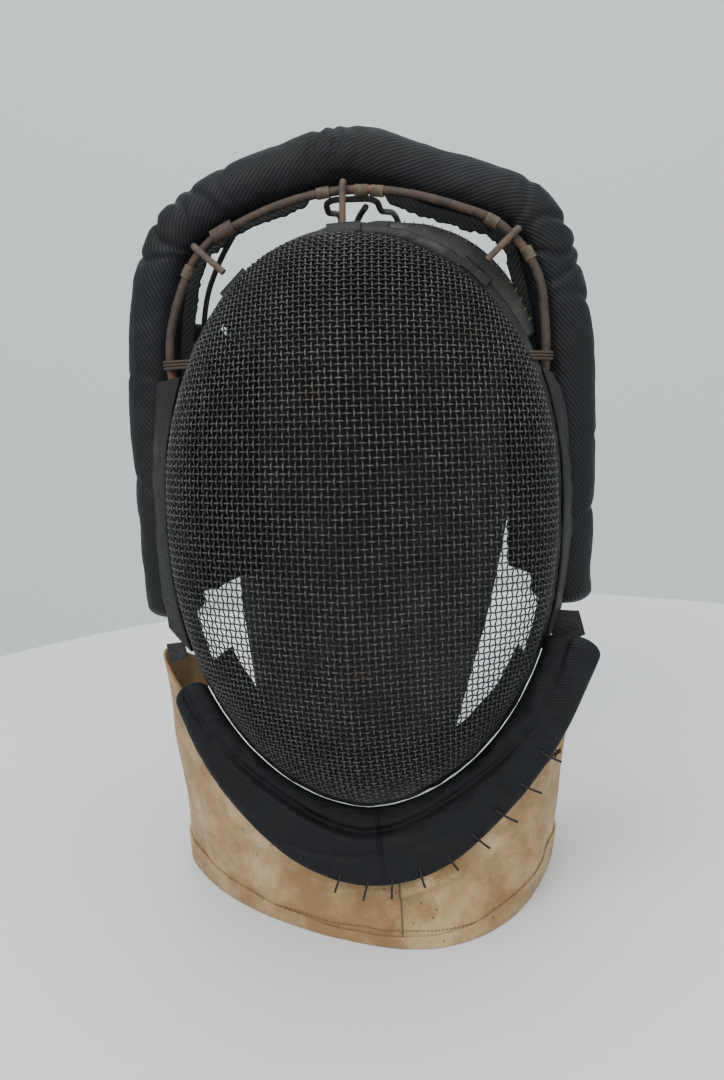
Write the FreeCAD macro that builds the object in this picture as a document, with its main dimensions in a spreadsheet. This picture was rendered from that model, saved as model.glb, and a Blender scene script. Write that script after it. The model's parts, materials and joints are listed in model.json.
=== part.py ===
"""Wire-faced fencing mask with a padded crown roll, a sprung tongue and a cloth bib.

The face lies in a plane that leans back.  In that plane u runs to the wearer's left (+X),
v runs up the face and w stands out of it, forward.  Most pieces are drawn in u, v, w
and carried into place by the face placement; the bib is drawn upright, on the table.
"""
import FreeCAD, Part

import math
import os

from FreeCAD import Placement, Rotation, Vector

doc = FreeCAD.newDocument("fencing_mask")

# ---------------------------------------------------------------- driving dimensions
DIMENSIONS = [
    ("face_lean", 17.0, "degrees the face leans back from upright"),
    ("face_height", 209.0, "height of the face frame's origin above the table"),
    ("stand_x", 3.18, "centres the whole mask over the origin, sideways"),
    ("stand_y", -34.26, "centres the whole mask over the origin, front to back"),
    ("rim_half_width", 95.0, "rim centre line, at its widest"),
    ("rim_widest", 16.0, "v of the widest place"),
    ("rim_rise", 126.0, "from the widest place up to the top of the rim"),
    ("rim_drop", 157.0, "from the widest place down to the bottom of the rim"),
    ("dome_depth", 96.0, "how far the mesh stands out of the rim plane"),
    ("mesh_start", 4.4, "w where the mesh leaves the binding"),
    ("mesh_thickness", 0.6, "shell that stands for the wire cloth, near its weight"),
    ("rim_wire_radius", 2.0, ""),
    ("binding_inner_radius", 2.15, ""),
    ("binding_outer_radius", 4.0, ""),
    ("wrap_outer_radius", 5.8, "leather wrapped once more where a hook meets the rim"),
    ("wrap_length", 17.0, ""),
    ("hoop_plane", -7.4, "w of the hoop's centre line"),
    ("hoop_wire_radius", 2.3, ""),
    ("hook_wire_radius", 1.7, ""),
    ("whipping_inner_radius", 2.45, ""),
    ("whipping_outer_radius", 3.2, ""),
    ("whipping_length", 6.5, ""),
    ("splice_inner_radius", 2.75, ""),
    ("splice_outer_radius", 3.9, ""),
    ("splice_length", 12.0, ""),
    ("roll_plane", -28.0, "w of the roll's centre line"),
    ("roll_radius", 15.5, "outside of the roll's cloth cover"),
    ("roll_lining_radius", 14.3, "inside of the cover"),
    ("roll_core_radius", 14.1, "stuffing"),
    ("seam_width", 6.0, "seam allowance left inside the roll"),
    ("seam_thickness", 1.4, ""),
    ("leather_thickness", 1.8, ""),
    ("stay_wire_radius", 1.5, ""),
    ("tongue_wire_radius", 1.6, ""),
    ("tongue_pad_thickness", 9.0, ""),
    ("tongue_pad_skin", 1.2, ""),
    ("brow_plane", -17.0, ""),
    ("brow_radius", 7.0, ""),
    ("brow_lining_radius", 5.9, ""),
    ("brow_core_radius", 5.7, ""),
    ("tie_thread_radius", 0.7, ""),
    ("collar_thickness", 12.0, "padded collar, front to back"),
    ("collar_skin", 1.2, ""),
    ("lining_thickness", 1.4, "cloth hung behind the lower rim"),
    ("canvas_thickness", 1.7, ""),
    ("hem_height", 9.0, ""),
    ("stitch_radius", 0.55, ""),
]
sheet = doc.addObject("Spreadsheet::Sheet", "dimensions")
for row, (alias, value, note) in enumerate(DIMENSIONS, start=1):
    sheet.set("A%d" % row, alias)
    sheet.set("B%d" % row, str(value))
    sheet.set("C%d" % row, note)
    sheet.setAlias("B%d" % row, alias)
doc.recompute()


def size(alias):
    """A driving dimension, as a plain number."""
    return float(sheet.get(alias))


LEAN = math.radians(size("face_lean"))
STAND = Placement(Vector(size("stand_x"), size("stand_y"), 0), Rotation())
FACE = STAND.multiply(Placement(
    Vector(0, 0, size("face_height")), Rotation(Vector(1, 0, 0), 90 - size("face_lean"))
))
NODES = []


def node(shape_object):
    """Mark a finished sub-part: its Label names its file."""
    NODES.append(shape_object)
    return shape_object


def on_face(part):
    """Carry a piece drawn in u, v, w onto the leaning face, bound to the sheet."""
    local = part.Placement
    part.Placement = FACE.multiply(local)
    part.setExpression("Placement.Base.x", "dimensions.stand_x + %.3f" % local.Base.x)
    part.setExpression("Placement.Rotation.Angle", "90 - dimensions.face_lean")
    part.setExpression(
        "Placement.Base.y",
        "dimensions.stand_y - cos(dimensions.face_lean * 1 deg) * %.3f" % local.Base.z
        + " + sin(dimensions.face_lean * 1 deg) * %.3f" % local.Base.y,
    )
    part.setExpression(
        "Placement.Base.z",
        "dimensions.face_height + sin(dimensions.face_lean * 1 deg) * %.3f" % local.Base.z
        + " + cos(dimensions.face_lean * 1 deg) * %.3f" % local.Base.y,
    )
    return part


def feature(label, shape, leaning=True):
    """A sub-part whose shape is worked out by the functions below."""
    part = doc.addObject("Part::Feature", label)
    part.Label = label
    part.Shape = shape
    if leaning:
        on_face(part)
    else:
        part.Placement = STAND
        part.setExpression("Placement.Base.x", "dimensions.stand_x")
        part.setExpression("Placement.Base.y", "dimensions.stand_y")
    return part


# ---------------------------------------------------------------- curves
UPPER_FULLNESS = 0.93
LOWER_FULLNESS = 1.11
LOWER_SQUARENESS = 0.83


def up_or_down(turn):
    """Share of the rise, or of the drop below zero, at a turn in radians; the jaw is squarer."""
    if math.sin(turn) >= 0:
        return math.sin(turn)
    return -abs(math.sin(turn)) ** LOWER_SQUARENESS


def rim_outline(angle, offset=0.0, w=0.0):
    """Point of the egg-shaped rim; angle in degrees, 0 at +u, 90 at the top."""
    turn = math.radians(angle)
    reach = size("rim_rise") if math.sin(turn) > 0 else size("rim_drop")
    fullness = UPPER_FULLNESS if math.sin(turn) > 0 else LOWER_FULLNESS
    across = math.copysign(abs(math.cos(turn)) ** fullness, math.cos(turn))
    u = (size("rim_half_width") + offset) * across
    v = size("rim_widest") + (reach + offset) * up_or_down(turn)
    return Vector(u, v, w)


def tangents(points, closed):
    """Direction of a smooth curve at each of its points, from the circle through three."""
    count = len(points)
    directions = []
    for index in range(count):
        if closed or 0 < index < count - 1:
            before = points[index] - points[index - 1]
            after = points[(index + 1) % count] - points[index]
            blend = before * (1 / before.Length**2) + after * (1 / after.Length**2)
            directions.append(blend.normalize())
        else:
            directions.append(None)
    if not closed:
        for end, beside in ((0, 1), (count - 1, count - 2)):
            chord = points[beside] - points[end]
            if end > beside:
                chord = points[end] - points[beside]
            chord.normalize()
            directions[end] = (chord * (2 * chord.dot(directions[beside])) - directions[beside]).normalize()
    return directions


def arc_from(start, direction, end):
    """Arc that leaves start along direction and reaches end."""
    chord = end - start
    half = chord * 0.5
    along = chord.normalize()
    side = direction - along * direction.dot(along)
    if side.Length < 1e-4:
        return Part.LineSegment(start, end).toShape()
    angle = math.acos(max(-1.0, min(1.0, direction.dot(along))))
    middle = start + half + side.normalize() * (half.Length * math.tan(angle / 2))
    return Part.Arc(start, middle, end).toShape()


def arc_chain(points, closed=False):
    """Smooth planar wire through points: two tangent arcs between each pair."""
    directions = tangents(points, closed)
    spans = len(points) if closed else len(points) - 1
    edges = []
    for index in range(spans):
        start, end = points[index], points[(index + 1) % len(points)]
        leave, arrive = directions[index], directions[(index + 1) % len(points)]
        chord = end - start
        both = leave + arrive
        spread = 2 * (1 - leave.dot(arrive))
        if spread < 1e-6:
            reach = chord.dot(chord) / (4 * chord.dot(arrive))
        else:
            lean = chord.dot(both)
            reach = (-lean + math.sqrt(lean**2 + spread * chord.dot(chord))) / spread
        middle = (start + leave * reach + end - arrive * reach) * 0.5
        edges.append(arc_from(start, leave, middle))
        turn = arc_from(end, arrive * -1, middle)
        edges.append(turn)
    return Part.Wire(Part.__sortEdges__(edges))


def rounded_path(points, share=0.45):
    """Straight runs joined by tangent arcs, each as large as its two runs allow."""
    edges = []
    start = points[0]
    for before, corner, after in zip(points, points[1:], points[2:]):
        into = corner - before
        out = after - corner
        cut = share * min(into.Length, out.Length)
        begin = corner - into.normalize() * cut
        finish = corner + out.normalize() * cut
        bisector = (begin + finish) * 0.5 - corner
        half_turn = into.getAngle(out) / 2
        radius = cut / math.tan(half_turn)
        sagitta = radius / math.cos(half_turn) - radius
        middle = corner + bisector.normalize() * sagitta
        edges.append(Part.LineSegment(start, begin).toShape())
        edges.append(Part.Arc(begin, middle, finish).toShape())
        start = finish
    edges.append(Part.LineSegment(start, points[-1]).toShape())
    return Part.Wire(edges)


# ---------------------------------------------------------------- swept pieces
def path_object(name, wire):
    path = doc.addObject("Part::Feature", name)
    path.Shape = wire
    return path


def sweep(label, path, radius_alias):
    """Round bar along a path: the circle's radius is bound to the sheet."""
    first = path.Shape.OrderedEdges[0]
    circle = doc.addObject("Part::Circle", label + "_section")
    start = path.Shape.OrderedVertexes[0].Point
    forward = first.tangentAt(first.FirstParameter)
    if first.valueAt(first.FirstParameter).distanceToPoint(start) > 1e-3:
        forward = first.tangentAt(first.LastParameter) * -1
    circle.Placement = Placement(start, Rotation(Vector(0, 0, 1), forward))
    circle.setExpression("Radius", "dimensions." + radius_alias)
    bar = doc.addObject("Part::Sweep", label)
    bar.Label = label
    bar.Sections = [circle]
    bar.Spine = (path, ["Edge%d" % (index + 1) for index in range(len(path.Shape.Edges))])
    bar.Solid = True
    bar.Frenet = False
    return bar


def tube(label, path, outer_alias, inner_alias):
    """Hollow sleeve along a path."""
    outer = sweep(label + "_outside", path, outer_alias)
    inner = sweep(label + "_inside", path, inner_alias)
    sleeve = doc.addObject("Part::Cut", label)
    sleeve.Label = label
    sleeve.Base = outer
    sleeve.Tool = inner
    return sleeve


def ribbon(path_points, width, thickness):
    """Flat strip along a planar smooth path, width in the plane and thickness along w."""
    wire = arc_chain(path_points)
    first = wire.OrderedEdges[0]
    start = wire.OrderedVertexes[0].Point
    forward = first.tangentAt(first.FirstParameter)
    if first.valueAt(first.FirstParameter).distanceToPoint(start) > 1e-3:
        forward = first.tangentAt(first.LastParameter) * -1
    across = forward.cross(Vector(0, 0, 1)).normalize()
    lift = Vector(0, 0, thickness)
    corners = [start, start + across * width, start + across * width + lift, start + lift]
    pipe = Part.BRepOffsetAPI.MakePipeShell(wire)
    pipe.setBiNormalMode(Vector(0, 0, 1))
    pipe.add(Part.makePolygon(corners + [start]))
    pipe.build()
    pipe.makeSolid()
    return pipe.shape()


# ---------------------------------------------------------------- face mesh
MESH_BULGE = 1.5


def dome_ring(level, shrink):
    """Closed contour of the dome at a level from 0, the rim, to 1, the nose.

    The contour is pointed where it crosses the crease, the more so towards the nose.
    """
    half_width = (size("rim_half_width") + MESH_BULGE - shrink) * (1 - level**2.2)
    rise = (size("rim_rise") - shrink) * (1 - level**1.3) ** (1 / 2.2)
    drop = (size("rim_drop") - shrink) * (1 - level**1.55) ** (1 / 2.6)
    w = size("mesh_start") + level * (size("dome_depth") - shrink - size("mesh_start"))
    halves = []
    for side in (1, -1):
        points = []
        for step in range(-6, 7):
            turn = math.radians(step * 15)
            reach = rise if step > 0 else drop
            pinch = (UPPER_FULLNESS if step > 0 else LOWER_FULLNESS) + 0.9 * level
            across = max(math.cos(turn), 0.0) ** pinch if abs(step) < 6 else 0.0
            v = size("rim_widest") + reach * up_or_down(turn)
            points.append(Vector(side * half_width * across, v, w))
        curve = Part.BSplineCurve()
        curve.interpolate(points[::side])
        halves.append(curve.toShape())
    return Part.Wire(halves)


def dome(shrink):
    levels = (0.0, 0.2, 0.4, 0.58, 0.74, 0.86, 0.94)
    nose = Part.Vertex(0, size("rim_widest"), size("dome_depth") - shrink)
    return Part.makeLoft([dome_ring(level, shrink) for level in levels] + [nose], True)


node(feature("face_mesh", dome(0.0).cut(dome(size("mesh_thickness")))))

# ---------------------------------------------------------------- rim
rim_path = path_object("rim_path", arc_chain([rim_outline(angle) for angle in range(0, 360, 20)], True))
node(on_face(sweep("rim_wire", rim_path, "rim_wire_radius")))
node(on_face(tube("rim_binding", rim_path, "binding_outer_radius", "binding_inner_radius")))

# ---------------------------------------------------------------- crown hoop
HOOP_POINTS = [
    (-93, 60), (-97, 84), (-92, 112), (-79, 137), (-52, 153), (-8, 164),
    (42, 157), (74, 142), (88, 122), (92, 96), (90, 62),
]
hoop_wire = arc_chain([Vector(u, v, size("hoop_plane")) for u, v in HOOP_POINTS])
hoop_path = path_object("hoop_path", hoop_wire)
node(on_face(sweep("crown_hoop", hoop_path, "hoop_wire_radius")))


def place_on_hoop(u, v):
    """Nearest point of the hoop's centre line, and the hoop's direction there."""
    spot = Part.Vertex(u, v, size("hoop_plane"))
    distance, pairs, info = hoop_wire.distToShape(spot)
    point = pairs[0][0]
    direction = None
    for edge in hoop_wire.Edges:
        parameter = edge.Curve.parameter(point)
        if edge.FirstParameter - 1e-6 <= parameter <= edge.LastParameter + 1e-6:
            if edge.valueAt(parameter).distanceToPoint(point) < 1e-3:
                direction = edge.tangentAt(parameter)
    return point, direction


def hoop_sleeves(label, places, length_alias, outer_alias, inner_alias):
    """Short sleeves round the hoop, one solid for each place."""
    sleeves = []
    for number, (u, v) in enumerate(places):
        point, along = place_on_hoop(u, v)
        tool = {}
        for part, alias in (("outside", outer_alias), ("inside", inner_alias)):
            barrel = doc.addObject("Part::Cylinder", "%s_%s_%d" % (label, part, number))
            barrel.setExpression("Radius", "dimensions." + alias)
            barrel.setExpression("Height", "dimensions." + length_alias)
            start = point - along * (size(length_alias) / 2)
            barrel.Placement = Placement(start, Rotation(Vector(0, 0, 1), along))
            tool[part] = barrel
        ring = doc.addObject("Part::Cut", "%s_ring_%d" % (label, number))
        ring.Base = tool["outside"]
        ring.Tool = tool["inside"]
        sleeves.append(ring)
    if len(sleeves) == 1:
        sleeves[0].Label = label
        return sleeves[0]
    group = doc.addObject("Part::Compound", label)
    group.Label = label
    group.Links = sleeves
    return group


WHIPPING = ("whipping_length", "whipping_outer_radius", "whipping_inner_radius")
node(on_face(hoop_sleeves("whipping_left", [(-86, 126)], *WHIPPING)))
node(on_face(hoop_sleeves("whipping_top", [(-17, 163), (2, 164), (10, 163.5)], *WHIPPING)))
node(on_face(hoop_sleeves("whipping_right", [(67, 147), (84, 130)], *WHIPPING)))
node(on_face(hoop_sleeves(
    "hoop_splice", [(-68, 145)], "splice_length", "splice_outer_radius", "splice_inner_radius"
)))

# ---------------------------------------------------------------- hooks from rim to hoop
# where the foot meets the rim, where the eye meets the hoop, and how far the eye turns
HOOKS = {
    "hook_left": ((-64, 122), (-80, 136), 230),
    "hook_top": ((-7, 142), (-7, 164), 120),
    "hook_right": ((61, 124), (77, 140), 230),
}


def hook_path(foot, eye, turn):
    """From the rim's binding straight up in front of the hoop, then over and behind it."""
    foot = Vector(foot[0], foot[1], 0)
    eye = place_on_hoop(*eye)[0]
    outward = Vector(eye.x - foot.x, eye.y - foot.y, 0)
    reach = outward.Length
    outward.normalize()
    turn_radius = size("hoop_wire_radius") + size("hook_wire_radius") + 0.15
    begin = (size("binding_outer_radius") + 0.15, 0.0)
    centre = (reach, size("hoop_plane"))
    gap = math.hypot(centre[0] - begin[0], centre[1] - begin[1])
    heading = math.atan2(centre[1] - begin[1], centre[0] - begin[0])
    slant = heading + math.asin(turn_radius / gap)
    run = math.sqrt(gap**2 - turn_radius**2)
    touch = (begin[0] + run * math.cos(slant), begin[1] + run * math.sin(slant))
    first = math.atan2(touch[1] - centre[1], touch[0] - centre[0])

    def place(x, w):
        return foot + outward * x + Vector(0, 0, w)

    def round_hoop(degrees):
        angle = first - math.radians(degrees)
        return place(centre[0] + turn_radius * math.cos(angle), centre[1] + turn_radius * math.sin(angle))

    line = Part.LineSegment(place(*begin), place(*touch)).toShape()
    bend = Part.Arc(round_hoop(0), round_hoop(turn / 2), round_hoop(turn)).toShape()
    return Part.Wire([line, bend])


hook_paths = {}
for name, (foot, eye, turn) in HOOKS.items():
    hook_paths[name] = path_object(name + "_path", hook_path(foot, eye, turn))
    node(on_face(sweep(name, hook_paths[name], "hook_wire_radius")))


def binding_wrap(foot):
    """Leather wrapped round the binding at a hook's foot, with the hook's hole in it."""
    foot = Vector(foot[0], foot[1], 0)
    nearest = min(range(0, 360), key=lambda angle: rim_outline(angle).distanceToPoint(foot))
    centre = rim_outline(nearest)
    along = (rim_outline(nearest + 1) - rim_outline(nearest - 1)).normalize()
    start = centre - along * (size("wrap_length") / 2)
    outer = Part.makeCylinder(size("wrap_outer_radius"), size("wrap_length"), start, along)
    inner = Part.makeCylinder(size("binding_outer_radius") + 0.5, size("wrap_length"), start, along)
    return outer.cut(inner).cut(MESH_SPACE)


MESH_SPACE = dome(-0.4)
wraps = [binding_wrap(foot) for foot, eye, turn in HOOKS.values()]
hook_holes = [
    path.Shape.makePipeShell([Part.Wire(Part.makeCircle(
        size("hook_wire_radius") + 0.15,
        path.Shape.OrderedVertexes[0].Point,
        path.Shape.OrderedEdges[0].tangentAt(0),
    ))], True, True)
    for path in hook_paths.values()
]
node(feature("binding_wraps", Part.makeCompound([wrap.cut(hole) for wrap, hole in zip(wraps, hook_holes)])))

# ---------------------------------------------------------------- crown roll
ROLL_POINTS = [
    (-101, -51), (-106, 15), (-108, 88), (-99, 138), (-76, 161), (-42, 175), (-5, 184),
    (40, 170), (82, 153), (97, 118), (102, 60), (98, -46),
]
roll_line = [Vector(u, v, size("roll_plane")) for u, v in ROLL_POINTS]
roll_path = path_object("roll_path", arc_chain(roll_line))
node(on_face(tube("crown_roll_cover", roll_path, "roll_radius", "roll_lining_radius")))
node(on_face(sweep("crown_roll_stuffing", roll_path, "roll_core_radius")))


def shifted(points, distance, w):
    """The same planar curve moved inward by a distance and laid at another w."""
    moved = []
    for point, along in zip(points, tangents(points, False)):
        inward = along.cross(Vector(0, 0, 1))
        moved.append(Vector(point.x + inward.x * distance, point.y + inward.y * distance, w))
    return moved


def round_bar(points, radius):
    """Bar along straight runs joined by tangent arcs, as a plain shape."""
    wire = rounded_path(points)
    start = wire.OrderedVertexes[0].Point
    forward = points[1] - points[0]
    circle = Part.Wire(Part.makeCircle(radius, start, forward))
    return wire.makePipeShell([circle], True, False)


# ---------------------------------------------------------------- side stays
STAY_POINTS = [
    (-60, 150, -11.4), (-76, 134, -38), (-88, 116, -60), (-94, 70, -72), (-96, 10, -76), (-95, -30, -74),
]
stays = {}
for name, side in (("side_stay_left", 1), ("side_stay_right", -1)):
    route = [Vector(side * u, v, w) for u, v, w in STAY_POINTS]
    stays[name] = path_object(name + "_path", rounded_path(route))
    node(on_face(sweep(name, stays[name], "stay_wire_radius")))

# ---------------------------------------------------------------- roll's seam allowance
seam_line = shifted(roll_line, size("roll_radius") - 0.9, -21.0)
seam = ribbon(seam_line, size("seam_width"), size("seam_thickness"))
for side in (1, -1):
    route = [Vector(side * u, v, w) for u, v, w in STAY_POINTS]
    seam = seam.cut(round_bar(route[:3], size("stay_wire_radius") + 1.0))
# open in the middle, where the tongue's wire swings
SEAM_GAP = Part.makeBox(54, 18, 20, Vector(-30, 149, -32))
node(feature("crown_roll_seam", seam.cut(SEAM_GAP)))


# ---------------------------------------------------------------- leather between rim and roll
def leather_strip(label, inner_points, outer_points):
    """Leather laid between two edges, one leather thick."""
    edges = []
    for points in (inner_points, outer_points):
        curve = Part.BSplineCurve()
        curve.interpolate(points)
        edges.append(curve.toShape())
    face = Part.makeRuledSurface(edges[0], edges[1])
    return feature(label, face.extrude(Vector(0, 0, -size("leather_thickness"))))


CHEEK_LEFT = [(-104, 71, -8), (-106.5, 48, -10), (-107.5, 12, -10), (-105.5, -30, -10), (-101, -54, -8)]
CHEEK_RIGHT = [(95, 71, -5), (101, 54, -8), (103.5, 20, -10), (102.5, -12, -10), (97.5, -45, -8)]
node(leather_strip(
    "cheek_strip_left",
    [rim_outline(angle, 4.8, 1.0) for angle in range(154, 207, 8)],
    [Vector(*point) for point in CHEEK_LEFT],
))
node(leather_strip(
    "cheek_strip_right",
    [rim_outline(angle, 4.8, 1.0) for angle in range(26, -26, -7)],
    [Vector(*point) for point in CHEEK_RIGHT],
))


def brow_flap_edge(angle):
    swell = math.sin(math.pi * (angle - 26) / 60)
    return rim_outline(angle, 4.5 + 8.5 * swell, -7.0 - 7.0 * swell)


node(leather_strip(
    "brow_flap",
    [rim_outline(angle, 2.5, -6.2) for angle in range(34, 83, 8)],
    [brow_flap_edge(angle) for angle in range(34, 83, 8)],
))

# ---------------------------------------------------------------- brow pad
brow_line = [rim_outline(angle, -3.0, size("brow_plane")) for angle in range(42, 139, 16)]
brow_path = path_object("brow_path", arc_chain(brow_line))
node(on_face(tube("brow_pad_cover", brow_path, "brow_radius", "brow_lining_radius")))
node(on_face(sweep("brow_pad_stuffing", brow_path, "brow_core_radius")))

# ---------------------------------------------------------------- side panels
PANEL_PROFILE = [(-100, -44.8), (-104, -62), (-103, -84), (-92, -107), (-71, -122)]
PANEL_TOP = 105.0
PANEL_BOTTOM = -36.0


def side_panel(label, side):
    """Leather cheek panel: stands behind the roll and wraps towards the back of the head."""
    line = [Vector(-side * u, PANEL_BOTTOM, w) for u, w in PANEL_PROFILE]
    curve = Part.BSplineCurve()
    curve.interpolate(line)
    outer = curve.toShape()
    inside = []
    for step in range(9):
        parameter = curve.FirstParameter + (curve.LastParameter - curve.FirstParameter) * step / 8
        along = curve.tangent(parameter)[0]
        inward = along.cross(Vector(0, 1, 0)).normalize() * -side
        inside.append(curve.value(parameter) + inward * size("leather_thickness"))
    inner_curve = Part.BSplineCurve()
    inner_curve.interpolate(inside)
    inner = inner_curve.toShape()
    caps = [
        Part.LineSegment(line[0], inside[0]).toShape(),
        Part.LineSegment(line[-1], inside[-1]).toShape(),
    ]
    section = Part.Face(Part.Wire(Part.__sortEdges__([outer, inner] + caps)))
    slab = section.extrude(Vector(0, PANEL_TOP - PANEL_BOTTOM, 0))
    outline = [
        Vector(0, PANEL_BOTTOM, -40), Vector(0, PANEL_BOTTOM, -104), Vector(0, PANEL_BOTTOM + 26, -130),
        Vector(0, PANEL_TOP - 34, -130), Vector(0, PANEL_TOP, -108), Vector(0, PANEL_TOP, -58),
        Vector(0, PANEL_TOP - 27, -40),
    ]
    keep = Part.Face(Part.makePolygon(outline + outline[:1])).extrude(Vector(side * 130, 0, 0))
    return feature(label, slab.common(keep))


node(side_panel("side_panel_left", -1))
node(side_panel("side_panel_right", 1))

# ---------------------------------------------------------------- tongue
# v, w and half width of the pad, from the crown down to the nape
TONGUE_STATIONS = [
    (151, -58, 24), (145, -91, 52), (118, -125, 78), (60, -146, 84),
    (0, -151, 82), (-62, -146, 73), (-122, -130, 59), (-147, -123, 54),
]
TONGUE_SWING = 0.06
PAD_WRAP = 7.0
tongue_curve = Part.BSplineCurve()
tongue_curve.interpolate([Vector(half, v, w) for v, w, half in TONGUE_STATIONS])


def tongue_frame(share):
    """Centre, outward and downward directions and half width, at a share of the way down."""
    first, last = tongue_curve.FirstParameter, tongue_curve.LastParameter
    parameter = first + (last - first) * share
    spot = tongue_curve.value(parameter)
    along = tongue_curve.tangent(parameter)[0]
    down = Vector(0, along.y, along.z).normalize()
    outward = Vector(1, 0, 0).cross(down).normalize()
    centre = Vector(-TONGUE_SWING * (160 - spot.y), spot.y, spot.z)
    return centre, outward, down, spot.x


def pad_face(thickness, inset, trim, side):
    """One face of the pad: thick in the middle, its edges wrapped forward round the neck."""
    rows = []
    for step in range(9):
        centre, outward, down, half = tongue_frame(trim + (1 - 2 * trim) * step / 8)
        half = half - inset
        row = []
        for across in (-1, -0.75, -0.45, 0, 0.45, 0.75, 1):
            swell = side * thickness * (0.5 - 0.18 * across**2)
            wrap = PAD_WRAP * (half * across / 84) ** 2
            row.append(centre + Vector(half * across, 0, 0) + outward * (swell - wrap))
        rows.append(row)
    surface = Part.BSplineSurface()
    surface.interpolate(rows)
    return surface.toShape()


def pad_solid(thickness, inset, trim):
    """The pad, or its lining: trim is the share left off each end."""
    back = pad_face(thickness, inset, trim, 1)
    front = pad_face(thickness, inset, trim, -1)
    edge = Part.makeLoft([back.OuterWire, front.OuterWire], False, True)
    skin_faces = Part.makeCompound([back, front] + edge.Faces)
    skin_faces.sewShape(0.01)
    solid = Part.Solid(skin_faces.Shells[0])
    if solid.Volume < 0:
        solid.reverse()
    return solid


pad_thickness = size("tongue_pad_thickness")
skin = size("tongue_pad_skin")
pad_outside = pad_solid(pad_thickness, 0.0, 0.0)
pad_lining = pad_solid(pad_thickness - 2 * skin, 2 * skin, 0.006)
pad_core = pad_solid(pad_thickness - 2 * skin - 0.4, 2 * skin + 0.3, 0.008)
node(feature("tongue_pad_cover", pad_outside.cut(pad_lining)))
node(feature("tongue_pad_stuffing", pad_core))


def over_pad(share, u, height):
    """Point a height above the back of the pad."""
    centre, outward, down, half = tongue_frame(share)
    wrap = PAD_WRAP * (half / 84) ** 2 * (u / half) ** 2
    return centre + Vector(u, 0, 0) + outward * (pad_thickness / 2 + height - wrap)


wire_height = size("tongue_wire_radius") + 2.0
LEG_SHARES = [0.02, 0.1, 0.19, 0.28, 0.37, 0.46, 0.55, 0.64, 0.73, 0.82]


def leg(side):
    return [over_pad(share, side * (14 + 20 * share), wire_height) for share in LEG_SHARES]


# the bar across the top of the wire, tied under the crown hoop: the tongue swings about it
TONGUE_BAR = [
    Vector(-17, 155.3, -25), Vector(-16.5, 160.2, -12.4), Vector(9, 160.2, -12.4), Vector(10, 155.3, -25),
]
tongue_route = leg(-1)[::-1] + TONGUE_BAR + leg(1)
node(feature("tongue_wire", round_bar(tongue_route, size("tongue_wire_radius"))))
brace_route = [Vector(3, 157.0, -19.0), Vector(-2, 154.0, -34.0), Vector(-6, 149.0, -49.0)]
node(feature("tongue_brace", round_bar(brace_route, size("tongue_wire_radius"))))


def keeper(share, side):
    """Leather loop that holds a leg of the wire down on the pad."""
    centre = over_pad(share, side * (14 + 20 * share), 0.6)
    outward, down = tongue_frame(share)[1:3]
    across, along = Vector(8, 0, 0), down * 6
    steps = ((-1, -1), (1, -1), (1, 1), (-1, 1), (-1, -1))
    outline = Part.makePolygon([centre + across * x + along * y for x, y in steps])
    block = Part.Face(outline).extrude(outward * 6.0)
    return block.cut(round_bar(tongue_route, size("tongue_wire_radius") + 0.25))


keepers = [keeper(share, side) for share in (0.32, 0.68) for side in (-1, 1)]
node(feature("tongue_keepers", Part.makeCompound(keepers)))

# ---------------------------------------------------------------- collar
# angle along the rim and width of the collar there
COLLAR = [(212, 17), (226, 23), (242, 29), (257, 37), (270, 40), (284, 39), (300, 31), (316, 26), (333, 23)]


def collar_section(angle, width, inset):
    inner = rim_outline(angle, 0, 0)
    along = rim_outline(angle + 1) - rim_outline(angle - 1)
    outward = along.cross(Vector(0, 0, 1)).normalize()
    slope = 4.0 * width / 40
    start = inner + outward * 4.9
    centre = start + outward * (width / 2) + Vector(0, 0, 1.5 + slope / 2)
    major = (outward * (width / 2) + Vector(0, 0, slope / 2)).normalize() * (width / 2 - inset)
    minor = along.normalize().cross(major).normalize() * (size("collar_thickness") / 2 - inset)
    ellipse = Part.Ellipse(centre + major, centre + minor, centre)
    return Part.Wire(ellipse.toShape())


def collar_solid(inset, trim):
    ends = [(COLLAR[0][0] + trim, COLLAR[0][1])] + COLLAR[1:-1] + [(COLLAR[-1][0] - trim, COLLAR[-1][1])]
    return Part.makeLoft([collar_section(angle, width, inset) for angle, width in ends], True, False)


collar_skin = size("collar_skin")
node(feature("collar_cover", collar_solid(0.0, 0).cut(collar_solid(collar_skin, 1))))
node(feature("collar_padding", collar_solid(collar_skin + 0.2, 1.3)))


def chin_lining_section(angle):
    """Cloth hanging back from behind the rim, drawn in more under the chin."""
    chin = math.exp(-((angle - 270) / 32) ** 2)
    front = rim_outline(angle, -0.5, -4.8)
    back = rim_outline(angle, -5.0 - 10.0 * chin, -44.0)
    along = rim_outline(angle + 1) - rim_outline(angle - 1)
    inward = along.cross(Vector(0, 0, 1)).normalize() * -size("lining_thickness")
    return Part.makePolygon([front, back, back + inward, front + inward, front])


node(feature("chin_lining", Part.makeLoft(
    [chin_lining_section(angle) for angle in range(210, 331, 12)], True, False
)))


def tab(label, corners, w):
    """Small flat leather tab between the roll's end and the collar, as a padded sketch."""
    body = doc.addObject("PartDesign::Body", label)
    body.Label = label
    sketch = body.newObject("Sketcher::SketchObject", label + "_outline")
    plane = [item for item in body.Origin.OriginFeatures if item.Role == "XY_Plane"][0]
    sketch.AttachmentSupport = [(plane, "")]
    sketch.MapMode = "FlatFace"
    for start, end in zip(corners, corners[1:] + corners[:1]):
        sketch.addGeometry(Part.LineSegment(Vector(*start, 0), Vector(*end, 0)), False)
    pad = body.newObject("PartDesign::Pad", label + "_pad")
    pad.Profile = sketch
    pad.setExpression("Length", "dimensions.leather_thickness")
    body.Tip = pad
    body.Placement = Placement(Vector(0, 0, w), Rotation())
    return body


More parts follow.
